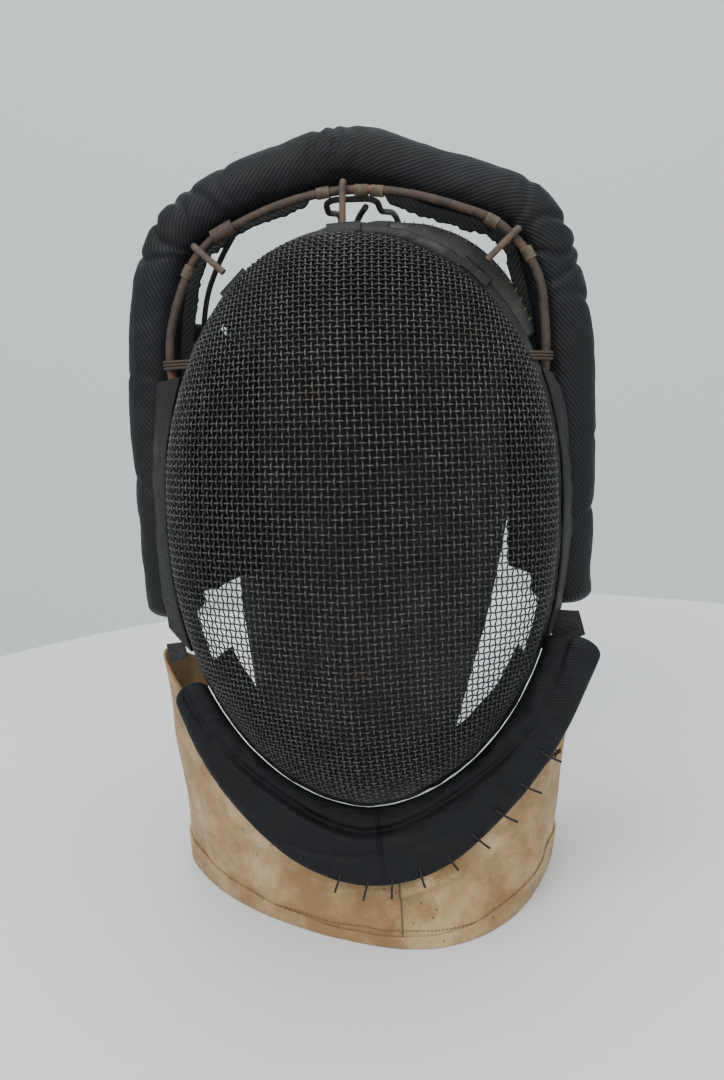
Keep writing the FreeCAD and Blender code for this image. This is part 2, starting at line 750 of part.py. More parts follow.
node(on_face(tab("collar_tab_right", [(90, -47), (107, -48), (110, -60), (99, -64), (91, -58)], -11.9)))
node(on_face(tab("collar_tab_left", [(-104, -63), (-95, -62), (-93, -70), (-102, -73)], -11.9)))

# ---------------------------------------------------------------- bib
# where the canvas hangs from, and where its hem stands: x, y, z and x, y
BIB_STATIONS = [
    ((-97, 46, 112), (-98, 66)), ((-112, 6, 141), (-112, 33)), ((-100, -14, 126), (-97, 4)),
    ((-74, -26, 92), (-74, -22)), ((-40, -38, 55), (-38, -46)), ((-8, -44, 43), (-6, -58)),
    ((14, -44, 44), (15, -64)), ((40, -38, 55), (42, -61)), ((74, -26, 92), (68, -40)),
    ((98, -14, 126), (84, -4)), ((107, 6, 141), (92, 32)), ((94, 46, 112), (90, 62)),
]
SEAM_STATION = 6


def bib_section(index, low, high, outside, thickness):
    """Slanting strip of canvas between two heights, as shares or millimetres from the hem."""
    top, foot = BIB_STATIONS[index]
    before = BIB_STATIONS[max(index - 1, 0)][1]
    after = BIB_STATIONS[min(index + 1, len(BIB_STATIONS) - 1)][1]
    inward = Vector(before[1] - after[1], after[0] - before[0], 0).normalize()
    hang = Vector(*top)
    stand = Vector(foot[0], foot[1], 0)
    rise = (hang - stand) * (1 / (hang.z - stand.z))
    bottom = stand + rise * low + inward * outside
    upper = stand + rise * (high if high else hang.z) + inward * outside
    step = inward * thickness
    return Part.makePolygon([bottom, upper, upper + step, bottom + step, bottom])


def bib_strip(first, last, low, high, outside, thickness):
    sections = [bib_section(i, low, high, outside, thickness) for i in range(first, last + 1)]
    return Part.makeLoft(sections, True, False)


canvas = size("canvas_thickness")
last_station = len(BIB_STATIONS) - 1
hem_top = size("hem_height")
for name, first, last in (("bib_left", 0, SEAM_STATION), ("bib_right", SEAM_STATION, last_station)):
    half = bib_strip(first, last, hem_top + 0.2, None, 0.0, canvas)
    node(feature(name, half, leaning=False))
hem = bib_strip(0, last_station, -3.0, hem_top + 3.0, -canvas / 2, canvas * 2)
hem_slab = Part.makeBox(400, 400, hem_top, Vector(-200, -200, 0))
node(feature("bib_hem", hem.common(hem_slab), leaning=False))

# ---------------------------------------------------------------- collar stitches
stitches = []
for angle in range(262, 320, 7):
    width = 40 - abs(angle - 272) * 0.32
    along = rim_outline(angle + 1) - rim_outline(angle - 1)
    outward = along.cross(Vector(0, 0, 1)).normalize()
    start = rim_outline(angle) + outward * (width + 7.5) + Vector(0, 0, 7.0)
    stitches.append(Part.makeCylinder(size("stitch_radius"), 7.0, start, outward - Vector(0, 0, 1.2)))
node(feature("collar_stitches", Part.makeCompound(stitches)))


# ---------------------------------------------------------------- lashings of the hoop's ends
def belt(first, first_radius, second, second_radius, normal):
    """Closed loop laid round two round bars that lie side by side."""
    apart = second - first
    apart = apart - normal * apart.dot(normal)
    reach = apart.Length
    x_axis = apart.normalize()
    y_axis = normal.cross(x_axis).normalize()
    lean = math.asin((first_radius - second_radius) / reach)

    def at(origin, radius, angle):
        return origin + x_axis * (radius * math.cos(angle)) + y_axis * (radius * math.sin(angle))

    far = first + x_axis * reach
    high = math.pi / 2 - lean
    edges = [
        Part.LineSegment(at(first, first_radius, high), at(far, second_radius, high)).toShape(),
        Part.Arc(
            at(far, second_radius, high), at(far, second_radius, 0), at(far, second_radius, -high)
        ).toShape(),
        Part.LineSegment(at(far, second_radius, -high), at(first, first_radius, -high)).toShape(),
        Part.Arc(
            at(first, first_radius, -high), at(first, first_radius, math.pi), at(first, first_radius, high)
        ).toShape(),
    ]
    return Part.Wire(edges)


def lashing(label, side):
    thread = size("tie_thread_radius")
    loops = []
    for turn in range(3):
        hoop_point = place_on_hoop(side * 95, 78 + turn * 1.6)[0]
        angles = range(0, 91) if side > 0 else range(90, 181)
        angle = min(angles, key=lambda a: abs(rim_outline(a).y - hoop_point.y))
        rim_point = rim_outline(angle)
        rim_point.y = hoop_point.y
        along = Vector(0, 1, 0)
        path = belt(
            rim_point, size("binding_outer_radius") + thread + 0.9,
            hoop_point, size("hoop_wire_radius") + thread + 0.15, along,
        )
        start = path.OrderedVertexes[0].Point
        edge = path.OrderedEdges[0]
        circle = Part.Wire(Part.makeCircle(thread, start, edge.tangentAt(edge.FirstParameter)))
        loops.append(path.makePipeShell([circle], True, False).cut(MESH_SPACE))
    return feature(label, Part.makeCompound(loops))


node(lashing("rim_tie_left", -1))
node(lashing("rim_tie_right", 1))

# ---------------------------------------------------------------- check and write
doc.recompute()
os.makedirs("parts", exist_ok=True)
for item in doc.Objects:
    failed = [state for state in item.State if state in ("Invalid", "Error")]
    if failed:
        raise RuntimeError("%s did not recompute: %s" % (item.Label, failed))
for part in NODES:
    if part.Shape.isNull() or not part.Shape.isValid() or not part.Shape.Solids:
        raise RuntimeError("%s has no valid solid" % part.Label)
    part.Shape.exportStep("parts/%s.step" % part.Label)
    box = part.Shape.BoundBox
    print("%-22s %2d solids %9.0f mm3  x %6.1f %6.1f  y %6.1f %6.1f  z %6.1f %6.1f" % (
        part.Label, len(part.Shape.Solids), part.Shape.Volume,
        box.XMin, box.XMax, box.YMin, box.YMax, box.ZMin, box.ZMax,
    ))
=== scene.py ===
"""Looks of the fencing mask: wire cloth, padded crown roll, leather, cloth collar and canvas bib.

The mask's face lies in a plane that leans back.  u runs to +X, v up the face and w forward out
of it.  Shapes are worked out in those directions, in millimetres, and world() turns them into
the frame's metres.
"""
import json
import math
import bpy
import numpy as np
from mathutils import Matrix, Vector, noise

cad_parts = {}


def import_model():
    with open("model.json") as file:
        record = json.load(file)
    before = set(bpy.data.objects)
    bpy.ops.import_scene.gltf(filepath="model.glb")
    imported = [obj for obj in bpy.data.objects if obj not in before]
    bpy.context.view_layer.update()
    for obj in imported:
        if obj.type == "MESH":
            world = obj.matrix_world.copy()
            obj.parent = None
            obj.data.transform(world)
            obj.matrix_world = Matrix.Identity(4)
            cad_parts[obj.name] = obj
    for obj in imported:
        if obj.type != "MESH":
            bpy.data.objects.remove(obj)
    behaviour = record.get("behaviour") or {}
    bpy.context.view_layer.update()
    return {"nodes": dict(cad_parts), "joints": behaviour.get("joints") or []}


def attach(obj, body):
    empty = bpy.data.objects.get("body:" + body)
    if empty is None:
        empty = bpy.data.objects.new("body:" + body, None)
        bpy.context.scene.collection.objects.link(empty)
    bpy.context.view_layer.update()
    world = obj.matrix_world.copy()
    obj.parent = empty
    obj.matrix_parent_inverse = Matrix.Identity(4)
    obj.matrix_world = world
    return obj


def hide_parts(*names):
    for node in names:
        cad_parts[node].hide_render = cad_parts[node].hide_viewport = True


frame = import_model()

MM = 0.001
JOINTS = {joint["name"]: joint for joint in frame["joints"]}
FACE_U = np.array([1.0, 0.0, 0.0])
FACE_V = np.array(JOINTS["side_panel_left_swing"]["axis"], float)
FACE_V /= np.linalg.norm(FACE_V)
FACE_W = np.cross(FACE_U, FACE_V)
# w in face directions, and the frame's own up
FORWARD = np.array([0.0, 0.0, 1.0])
UP = np.array([0.0, 0.0, 1.0])
AXES = np.array([FACE_U, FACE_V, FACE_W])
# the middle of the tongue's bar, in face directions
TONGUE_BAR = np.array([-4.0, 160.2, -12.4])
ORIGIN = np.array(JOINTS["tongue_flex"]["pos_m"]) - TONGUE_BAR @ AXES * MM


def world(points):
    """Face directions, in mm, to the frame's metres."""
    return ORIGIN + np.asarray(points, float) @ AXES * MM


# ---------------------------------------------------------------- camera
CAMERA_AZIMUTH = math.radians(6.0)
CAMERA_HEIGHT = math.radians(21.0)
CAMERA_ROLL = math.radians(3.0)
CAMERA_DISTANCE = 0.850
CAMERA_LENS = 56.67
CAMERA_AIM = Vector(ORIGIN) + Vector((-0.00064, -0.00366, -0.0093))


def make_camera():
    back = Vector((
        math.sin(CAMERA_AZIMUTH) * math.cos(CAMERA_HEIGHT),
        -math.cos(CAMERA_AZIMUTH) * math.cos(CAMERA_HEIGHT),
        math.sin(CAMERA_HEIGHT),
    ))
    right = Vector((0, 0, 1)).cross(back).normalized()
    up = back.cross(right)
    turned_right = math.cos(CAMERA_ROLL) * right - math.sin(CAMERA_ROLL) * up
    turned_up = math.sin(CAMERA_ROLL) * right + math.cos(CAMERA_ROLL) * up
    data = bpy.data.cameras.new("camera")
    data.lens = CAMERA_LENS
    camera = bpy.data.objects.new("camera", data)
    camera.matrix_world = Matrix((
        (turned_right.x, turned_up.x, back.x, 0),
        (turned_right.y, turned_up.y, back.y, 0),
        (turned_right.z, turned_up.z, back.z, 0),
        (0, 0, 0, 1),
    ))
    camera.location = CAMERA_AIM + back * CAMERA_DISTANCE
    bpy.context.scene.collection.objects.link(camera)
    bpy.context.scene.camera = camera


make_camera()


def make_floor_and_light():
    scene = bpy.context.scene
    turn = np.linspace(0, 2 * math.pi, 257)[:-1]
    table = [(0.05 + 0.60 * math.cos(a), -0.235 + 0.60 * math.sin(a), z) for z in (0.0, -0.03) for a in turn]
    sides = [(k, (k + 1) % 256, 256 + (k + 1) % 256, 256 + k) for k in range(256)]
    backdrops = (
        ("table", table, [tuple(range(256))] + sides, (0.74, 0.755, 0.77)),
        ("wall", [(-4, 1.5, -1), (4, 1.5, -1), (4, 1.5, 3), (-4, 1.5, 3)], [(0, 1, 2, 3)],
         (0.78, 0.81, 0.80)),
        ("ground", [(-4, -3, -0.75), (4, -3, -0.75), (4, 1.5, -0.75), (-4, 1.5, -0.75)], [(0, 1, 2, 3)],
         (0.62, 0.64, 0.64)),
    )
    for name, corners, faces, colour in backdrops:
        mesh = bpy.data.meshes.new(name)
        mesh.from_pydata(corners, [], faces)
        piece = bpy.data.objects.new(name, mesh)
        scene.collection.objects.link(piece)
        paint = bpy.data.materials.new(name + "_paint")
        paint.use_nodes = True
        shader = paint.node_tree.nodes["Principled BSDF"]
        shader.inputs["Base Color"].default_value = (*colour, 1)
        shader.inputs["Roughness"].default_value = 0.6
        mesh.materials.append(paint)
    world_light = bpy.data.worlds.new("studio")
    world_light.use_nodes = True
    sky = world_light.node_tree.nodes["Background"]
    sky.inputs["Color"].default_value = (0.80, 0.83, 0.84, 1)
    sky.inputs["Strength"].default_value = 1.10
    scene.world = world_light
    # name, place, size, power and colour of each soft light
    lights = (
        ("key", (-0.5, -0.9, 1.6), 1.1, 19.0, (1.0, 1.0, 1.0)),
        ("fill", (1.2, -0.9, 0.9), 1.2, 5.0, (0.95, 0.98, 1.0)),
        ("top", (0.1, 0.5, 1.8), 1.4, 14.0, (0.97, 0.99, 1.0)),
    )
    for name, place, size, power, colour in lights:
        data = bpy.data.lights.new(name, "AREA")
        data.size = size
        data.energy = power
        data.color = colour
        light = bpy.data.objects.new(name, data)
        light.location = place
        light.rotation_euler = (Vector(ORIGIN) - Vector(place)).to_track_quat("-Z", "Y").to_euler()
        scene.collection.objects.link(light)


make_floor_and_light()


# ---------------------------------------------------------------- mesh helpers
def link(name, mesh):
    piece = bpy.data.objects.new(name, mesh)
    bpy.context.scene.collection.objects.link(piece)
    return piece


def unit(vectors):
    return vectors / np.maximum(np.linalg.norm(vectors, axis=-1, keepdims=True), 1e-12)


def roughly(points, scale, seed):
    """Smooth noise from -1 to 1 at each point; scale is the size of its lumps."""
    shift = Vector((seed * 3.1, seed * -1.7, seed * 2.3))
    return np.array([noise.noise(Vector(point) / scale + shift) for point in points.reshape(-1, 3)]).reshape(
        points.shape[:-1]
    )


def add_faces(mesh, points, faces, uv=None):
    face_list = faces.tolist() if hasattr(faces, "tolist") else faces
    mesh.from_pydata(points.reshape(-1, 3).tolist(), [], face_list)
    mesh.polygons.foreach_set("use_smooth", np.ones(len(mesh.polygons), bool))
    if uv is not None:
        layer = mesh.uv_layers.new(name="weave")
        layer.data.foreach_set("uv", np.asarray(uv, np.float32).ravel())


def grid_mesh(name, grid, uv, wrap=(False, False), flat_ends=False):
    """Surface over rows and columns of points in metres; uv in mm, one row or column more where it wraps.

    flat_ends closes a sheet's first and last rows, whose second half of columns lies behind the first.
    """
    rows, columns = grid.shape[:2]
    row, column = np.meshgrid(
        np.arange(rows if wrap[0] else rows - 1),
        np.arange(columns if wrap[1] else columns - 1),
        indexing="ij",
    )
    corners = ((0, 0), (1, 0), (1, 1), (0, 1))
    faces = np.stack([
        ((row + a) % rows) * columns + (column + b) % columns for a, b in corners
    ], -1).reshape(-1, 4)
    loops = np.stack([uv[row + a, column + b] for a, b in corners], -2).reshape(-1, 4, 2)
    if flat_ends:
        near = np.arange(columns // 2 - 1)
        cap = np.stack([near, near + 1, columns - 2 - near, columns - 1 - near], -1)
        last = (rows - 1) * columns + cap[:, ::-1]
        faces = np.concatenate([faces, cap, last])
        loops = np.concatenate([loops, uv[0][cap], uv[-1][cap[:, ::-1]]])
    mesh = bpy.data.meshes.new(name)
    add_faces(mesh, grid, faces, loops)
    return link(name, mesh)


def tube_rings(path, normals, radius, sides):
    """Rings round a path: path and normals are N x 3, radius a number or N."""
    along = unit(np.gradient(path, axis=0))
    across = unit(np.cross(along, normals))
    lift = np.cross(across, along)
    turn = np.arange(sides) * 2 * math.pi / sides
    radius = np.broadcast_to(np.asarray(radius, float), (len(path),))[:, None, None]
    return path[:, None] + radius * (
        np.cos(turn)[None, :, None] * lift[:, None] + np.sin(turn)[None, :, None] * across[:, None]
    )


def tube_faces(rings, sides, start, closed=False):
    """Quads between rings, and the two end caps."""
    steps = rings if closed else rings - 1
    i, j = np.meshgrid(np.arange(steps), np.arange(sides), indexing="ij")
    quads = start + np.stack([
        i * sides + j, ((i + 1) % rings) * sides + j, ((i + 1) % rings) * sides + (j + 1) % sides,
        i * sides + (j + 1) % sides,
    ], -1).reshape(-1, 4)
    ends = []
    if not closed:
        ends = [start + np.arange(sides), start + (rings - 1) * sides + np.arange(sides)[::-1]]
    return quads.tolist() + [end.tolist() for end in ends]


def bundle(name, wires, sides, wear=None):
    """One mesh of many wires, each (path, normals, radius) in metres."""
    points, faces, count = [], [], 0
    for path, normals, radius in wires:
        rings = tube_rings(path, normals, radius, sides)
        faces += tube_faces(len(path), sides, count)
        points.append(rings.reshape(-1, 3))
        count += len(path) * sides
    mesh = bpy.data.meshes.new(name)
    add_faces(mesh, np.concatenate(points), faces)
    if wear is not None:
        attribute = mesh.attributes.new("wear", "FLOAT", "POINT")
        attribute.data.foreach_set("value", np.concatenate(wear).astype(np.float32))
    return link(name, mesh)


# ---------------------------------------------------------------- the dome
RIM_HALF_WIDTH = 95.0
RIM_WIDEST = 16.0
RIM_RISE = 126.0
RIM_DROP = 157.0
DOME_DEPTH = 96.0
MESH_START = 4.4
MESH_BULGE = 1.5
UPPER_FULLNESS = 0.93
LOWER_FULLNESS = 1.11
LOWER_SQUARENESS = 0.83
CREASE_LEAN = 8.0


def dome_value(points):
    """Below zero inside the dome, zero on it: points are N x 3, in face directions."""
    u, v, w = np.abs(points[:, 0]), points[:, 1] - RIM_WIDEST, points[:, 2]
    level = np.clip((w - MESH_START) / (DOME_DEPTH - MESH_START), 0, 0.9995)
    half_width = (RIM_HALF_WIDTH + MESH_BULGE) * (1 - level**2.2)
    rise = RIM_RISE * (1 - level**1.3) ** (1 / 2.2)
    drop = RIM_DROP * (1 - level**1.55) ** (1 / 2.6)
    upper = v > 0
    pinch = np.where(upper, UPPER_FULLNESS, LOWER_FULLNESS) + 0.9 * level
    along = np.abs(v) / np.where(upper, rise, drop)
    return (u / half_width) ** (2 / pinch) + along ** np.where(upper, 2, 2 / LOWER_SQUARENESS) - 1


def dome_slope(points):
    step = 0.02
    slopes = []
    for axis in range(3):
        offset = np.zeros(3)
        offset[axis] = step
        slopes.append((dome_value(points + offset) - dome_value(points - offset)) / (2 * step))
    return np.stack(slopes, -1)


# ---------------------------------------------------------------- wire cloth
WIRE_PITCH = 3.4
WIRE_RADIUS = 0.42
# w where a wire goes into the binding
WIRE_END = 2.4
WIRE_SIDES = 5


def crease_line(direction):
    """Crossings down or up the crease, a pitch apart, from the nose to past the rim."""
    level = 1 - np.linspace(0, 1, 4000) ** 2
    if direction > 0:
        reach = RIM_RISE * (1 - level**1.3) ** (1 / 2.2)
    else:
        reach = RIM_DROP * (1 - level**1.55) ** (1 / 2.6)
    v = RIM_WIDEST + direction * reach
    w = MESH_START + level * (DOME_DEPTH - MESH_START)
    return evenly(np.stack([np.zeros_like(v), v, w], -1), WIRE_PITCH, 12.0)


def nose_line():
    """Crossings along the level line through the nose."""
    level = 1 - np.linspace(0, 1, 4000) ** 2
    u = (RIM_HALF_WIDTH + MESH_BULGE) * (1 - level**2.2)
    w = MESH_START + level * (DOME_DEPTH - MESH_START)
    return evenly(np.stack([u, np.full_like(u, RIM_WIDEST), w], -1), WIRE_PITCH, 12.0)


def evenly(line, step, extra):
    """Points a step apart along a line, which runs on straight down by extra at its end."""
    line = np.concatenate([line, line[-1:] - [[0, 0, extra]]])
    length = np.concatenate([[0], np.cumsum(np.linalg.norm(np.diff(line, axis=0), axis=1))])
    places = np.arange(0, length[-1], step)
    return np.stack([np.interp(places, length, line[:, axis]) for axis in range(3)], -1)


def fill_quadrant(crease, level_line):
    """Crossings of a cloth whose wires keep their pitch, grown from two lines that meet at the nose."""
    rows, columns = len(crease), len(level_line)
    net = np.full((rows, columns, 3), np.nan)
    net[:, 0] = crease
    net[0] = level_line
    for total in range(2, rows + columns - 1):
        row = np.arange(max(1, total - columns + 1), min(rows - 1, total - 1) + 1)
        column = total - row
        below, beside, back = net[row - 1, column], net[row, column - 1], net[row - 1, column - 1]
        spot = below + beside - back
        ready = np.isfinite(spot).all(1) & (below[:, 2] > -6) & (beside[:, 2] > -6)
        row, column = row[ready], column[ready]
        below, beside, spot = below[ready], beside[ready], spot[ready]
        if not len(row):
            continue
        net[row, column] = meet(spot, below, beside)
    return net


def meet(spot, first, second):
    """Newton's steps to the point of the dome a pitch from two others."""
    for _ in range(14):
        to_first, to_second = spot - first, spot - second
        wrong = np.stack([
            (to_first**2).sum(1) - WIRE_PITCH**2, (to_second**2).sum(1) - WIRE_PITCH**2, dome_value(spot)
        ], -1)
        slopes = np.stack([2 * to_first, 2 * to_second, dome_slope(spot)], 1)
        damped = slopes.transpose(0, 2, 1) @ slopes + 1e-7 * np.eye(3)
        move = np.linalg.solve(damped, slopes.transpose(0, 2, 1) @ wrong[..., None])[..., 0]
        move *= np.minimum(1, 1.5 / np.maximum(np.linalg.norm(move, axis=1, keepdims=True), 1e-9))
        spot = spot - move
        spot[:, 0] = np.maximum(spot[:, 0], 0.01)
    return spot


def lean_crease(points):
    """The crease runs a little to one side as it nears the top of the rim."""
    share = np.clip((points[..., 1] - RIM_WIDEST) / RIM_RISE, 0, 1) ** 2
    across = np.clip(np.abs(points[..., 0]) / RIM_HALF_WIDTH, 0, 1)
    moved = points.copy()
    moved[..., 0] -= CREASE_LEAN * share * (1 - across**2)
    return moved


def crossings():
    """Crossings of the whole cloth: rows from chin to forehead, columns from right to left cheek."""
    side = nose_line()
    upper = fill_quadrant(crease_line(1), side)
    lower = fill_quadrant(crease_line(-1), side)
    right = np.concatenate([lower[:0:-1], upper])
    left = right[:, :0:-1] * [-1, 1, 1]
    return np.concatenate([left, right], 1)


def crimped(points, over):
    """Path of one wire through its crossings, bent over and under the wires it meets."""
    steps = 4
    spots = np.arange(len(points))
    fine = np.linspace(0, len(points) - 1, (len(points) - 1) * steps + 1)
    path = np.stack([np.interp(fine, spots, points[:, axis]) for axis in range(3)], -1)
    lift = unit(dome_slope(np.where(np.abs(path[:, :1]) < 0.5, path * [1, 1, 1] + [0.5, 0, 0], path)))
    height = np.cos(fine * math.pi) * (1 if over else -1)
    bend = np.sign(height) * np.abs(height) ** 0.8
    return path + lift * (bend * WIRE_RADIUS)[:, None], lift, height


def cloth_wires(net):
    """All warps and wefts that stand clear of the rim, as (crossings, goes over at its first crossing)."""
    held = np.isfinite(net).all(-1) & (np.nan_to_num(net[..., 2], nan=-99) > WIRE_END)
    warps, wefts = [], []
    for index in range(net.shape[1]):
        rows = np.flatnonzero(held[:, index])
        if len(rows) > 3:
            warps.append((net[rows[0]:rows[-1] + 1, index], (index + rows[0]) % 2 == 0))
    for index in range(net.shape[0]):
        columns = np.flatnonzero(held[index])
        if len(columns) > 3:
            wefts.append((net[index, columns[0]:columns[-1] + 1], (index + columns[0]) % 2 == 1))
    return warps, wefts


def make_wire_cloth(material):
    warps, wefts = cloth_wires(crossings())
    groups = {
        "face_mesh_warps_right": warps[:len(warps) // 2], "face_mesh_warps_left": warps[len(warps) // 2:],
        "face_mesh_wefts_lower": wefts[:len(wefts) // 2], "face_mesh_wefts_upper": wefts[len(wefts) // 2:],
    }
    pieces = []
    for name, wires in groups.items():
        shaped, wear = [], []
        for points, over in wires:
            path, lift, height = crimped(points, over)
            shaped.append((world(lean_crease(path)), lift @ AXES, WIRE_RADIUS * MM))
            wear.append(np.repeat(height, WIRE_SIDES))
        piece = bundle(name, shaped, WIRE_SIDES, wear)
        piece.data.materials.append(material)
        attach(piece, "mask")
        pieces.append(piece)
    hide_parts("face_mesh")
    return pieces


# ---------------------------------------------------------------- materials
class Look:
    """A material's node graph, wired by short calls."""

    def __init__(self, name):
        self.material = bpy.data.materials.new(name)
        self.material.use_nodes = True
        self.tree = self.material.node_tree
        self.shader = self.tree.nodes["Principled BSDF"]

    def put(self, socket, value):
        if isinstance(value, bpy.types.NodeSocket):
            self.tree.links.new(value, socket)
        else:
            socket.default_value = value

    def node(self, kind, inputs=None, **settings):
        made = self.tree.nodes.new("ShaderNode" + kind)
        for key, value in settings.items():
            setattr(made, key, value)
        for key, value in (inputs or {}).items():
            self.put(made.inputs[key], value)
        return made

    def set(self, **inputs):
        """Sets the shader's own sockets: Base_Color is Base Color."""
        for key, value in inputs.items():
            self.put(self.shader.inputs[key.replace("_", " ")], value)
        return self

    def place(self):
        return self.node("TexCoord").outputs["Object"]

    def weave(self):
        """Place on the cloth as it was cut, in millimetres."""
        return self.node("UVMap", uv_map="weave").outputs["UV"]

    def noise(self, scale, detail=4.0, roughness=0.55, stretch=None):
        vector = self.place()
        if stretch:
            vector = self.node("Mapping", {"Vector": vector, "Scale": stretch}).outputs["Vector"]
        found = self.node("TexNoise", {
            "Vector": vector, "Scale": scale, "Detail": detail, "Roughness": roughness,
        })
        return found.outputs["Fac"]

    def cells(self, scale):
        """Distance from the middle of the nearest cell."""
        return self.node("TexVoronoi", {"Vector": self.place(), "Scale": scale}).outputs["Distance"]

    def math(self, operation, first, second=0.0, third=0.0):
        made = self.node("Math", operation=operation)
        for socket, value in zip(made.inputs, (first, second, third)):
            self.put(socket, value)
        return made.outputs[0]

    def mix(self, share, first, second):
        made = self.node("Mix", data_type="RGBA")
        for socket, value in ((made.inputs[0], share), (made.inputs[6], first), (made.inputs[7], second)):
            if isinstance(value, tuple) and len(value) == 3:
                value = (*value, 1)
            self.put(socket, value)
        return made.outputs[2]

    def range(self, value, low, high, to_low=0.0, to_high=1.0):
        made = self.node("MapRange", {
            "Value": value, "From Min": low, "From Max": high, "To Min": to_low, "To Max": to_high,
        })
        return made.outputs["Result"]

    def bump(self, height, distance, strength=1.0, under=None):
        inputs = {"Height": height, "Distance": distance, "Strength": strength}
        if under is not None:
            inputs["Normal"] = under
        return self.node("Bump", inputs).outputs["Normal"]


def wire_paint():
    """Dark grey paint, rubbed to grey iron where the wires stand proud."""
    look = Look("wire_paint")
    wear = look.node("Attribute", attribute_name="wear").outputs["Fac"]
    patches = look.noise(90.0, detail=3.0)
    speckle = look.noise(1400.0, detail=2.0)
    proud = look.range(wear, 0.1, 1.0)
    worn = look.math("MULTIPLY", proud, look.range(look.math("ADD", patches, speckle), 0.75, 1.25))
    colour = look.mix(worn, (0.016, 0.0165, 0.018), (0.120, 0.120, 0.118))
    rusty = look.range(look.noise(60.0, detail=5.0), 0.60, 0.72)
    colour = look.mix(look.math("MULTIPLY", rusty, 0.35), colour, (0.10, 0.062, 0.035))
    look.set(
        Base_Color=colour, Metallic=0.35, Roughness=look.range(worn, 0, 1, 0.55, 0.38),
        Normal=look.bump(speckle, 0.00006),
    )
    return look.material


make_wire_cloth(wire_paint())


# ---------------------------------------------------------------- cloth, leather and iron
SHEEN = {"Sheen_Weight": 0.012, "Sheen_Roughness": 0.45, "Sheen_Tint": (0.55, 0.62, 0.75, 1)}


def twill(name, slant, dark=(0.0035, 0.0038, 0.0046), light=(0.0115, 0.0128, 0.0158), pitch=2.0,
          depth=0.00020):
    """Black ribbed cloth: slant is the ribs' angle to the cloth's length, in degrees."""
    look = Look(name)
    place = look.node("SeparateXYZ", {"Vector": look.weave()})
    wander = look.math("MULTIPLY", look.noise(45.0, detail=2.0), 5.0)
    turn = math.radians(slant)
    along = look.math("MULTIPLY", place.outputs["X"], math.sin(turn) * 2 * math.pi / pitch)
    across = look.math("MULTIPLY", place.outputs["Y"], math.cos(turn) * 2 * math.pi / pitch)
    phase = look.math("ADD", look.math("SUBTRACT", along, across), wander)
    rib = look.range(look.math("SINE", phase), -1, 1)
    diagonal = look.math("ADD", place.outputs["X"], place.outputs["Y"])
    thread = look.math("SINE", look.math("MULTIPLY", diagonal, 7.0))
    rib = look.math("MULTIPLY_ADD", thread, 0.10, rib)
    worn = look.range(look.noise(28.0, detail=5.0), 0.40, 0.68)
    colour = look.mix(look.math("MULTIPLY", rib, look.range(worn, 0, 1, 0.45, 1.0)), dark, light)
    # painted highlight: olive patches, laid at random, stand in for light caught by the cloth's fuzz at its
    # edges
    lit_fuzz_tint = look.range(look.noise(16.0, detail=3.0), 0.56, 0.70)
    colour = look.mix(look.math("MULTIPLY", lit_fuzz_tint, 0.35), colour, (0.022, 0.020, 0.012))
    specks = look.range(look.cells(420.0), 0.045, 0.0)
    chosen = look.range(look.noise(130.0, detail=1.0), 0.60, 0.66)
    specks = look.math("MULTIPLY", look.math("MULTIPLY", specks, chosen), 0.7)
    colour = look.mix(specks, colour, (0.42, 0.41, 0.38))
    dents = look.bump(look.noise(55.0, detail=4.0), 0.0022, 0.55)
    look.set(
        Base_Color=colour, Roughness=look.range(rib, 0, 1, 0.70, 0.52), Specular_IOR_Level=0.24,
        Normal=look.bump(rib, depth, 0.75, dents), **SHEEN,
    )
    return look.material


def leather(name, dark, light, edge=(0.16, 0.155, 0.14), gloss=0.42, rub=0.6):
    """Grained leather, scuffed to a paler colour in patches."""
    look = Look(name)
    grain = look.cells(900.0)
    scuff = look.range(look.noise(42.0, detail=7.0, roughness=0.68), rub - 0.06, rub + 0.12)
    tone = look.range(look.noise(22.0, detail=4.0), 0.35, 0.68)
    colour = look.mix(tone, dark, light)
    colour = look.mix(look.math("MULTIPLY", scuff, 0.55), colour, edge)
    wrinkle = look.bump(look.noise(110.0, detail=5.0, stretch=(1.0, 1.0, 3.0)), 0.0012, 0.6)
    look.set(
        Base_Color=colour, Roughness=look.range(tone, 0, 1, gloss, gloss + 0.18), Specular_IOR_Level=0.28,
        Normal=look.bump(grain, 0.00025, 0.6, wrinkle),
    )
    return look.material


def iron(name, dark, light, bright, rusty=0.55):
    """Old iron wire: dark skin, brown rust and patches of orange."""
    look = Look(name)
    tone = look.range(look.noise(160.0, detail=6.0, roughness=0.7), 0.36, 0.66)
    patch = look.range(look.noise(38.0, detail=4.0), rusty, rusty + 0.14)
    colour = look.mix(tone, dark, light)
    colour = look.mix(patch, colour, bright)
    pits = look.noise(1500.0, detail=3.0)
    look.set(
        Base_Color=colour, Metallic=0.30, Roughness=look.range(tone, 0, 1, 0.52, 0.80),
        Normal=look.bump(pits, 0.00018, 0.8, look.bump(tone, 0.00035, 0.7)),
    )
    return look.material


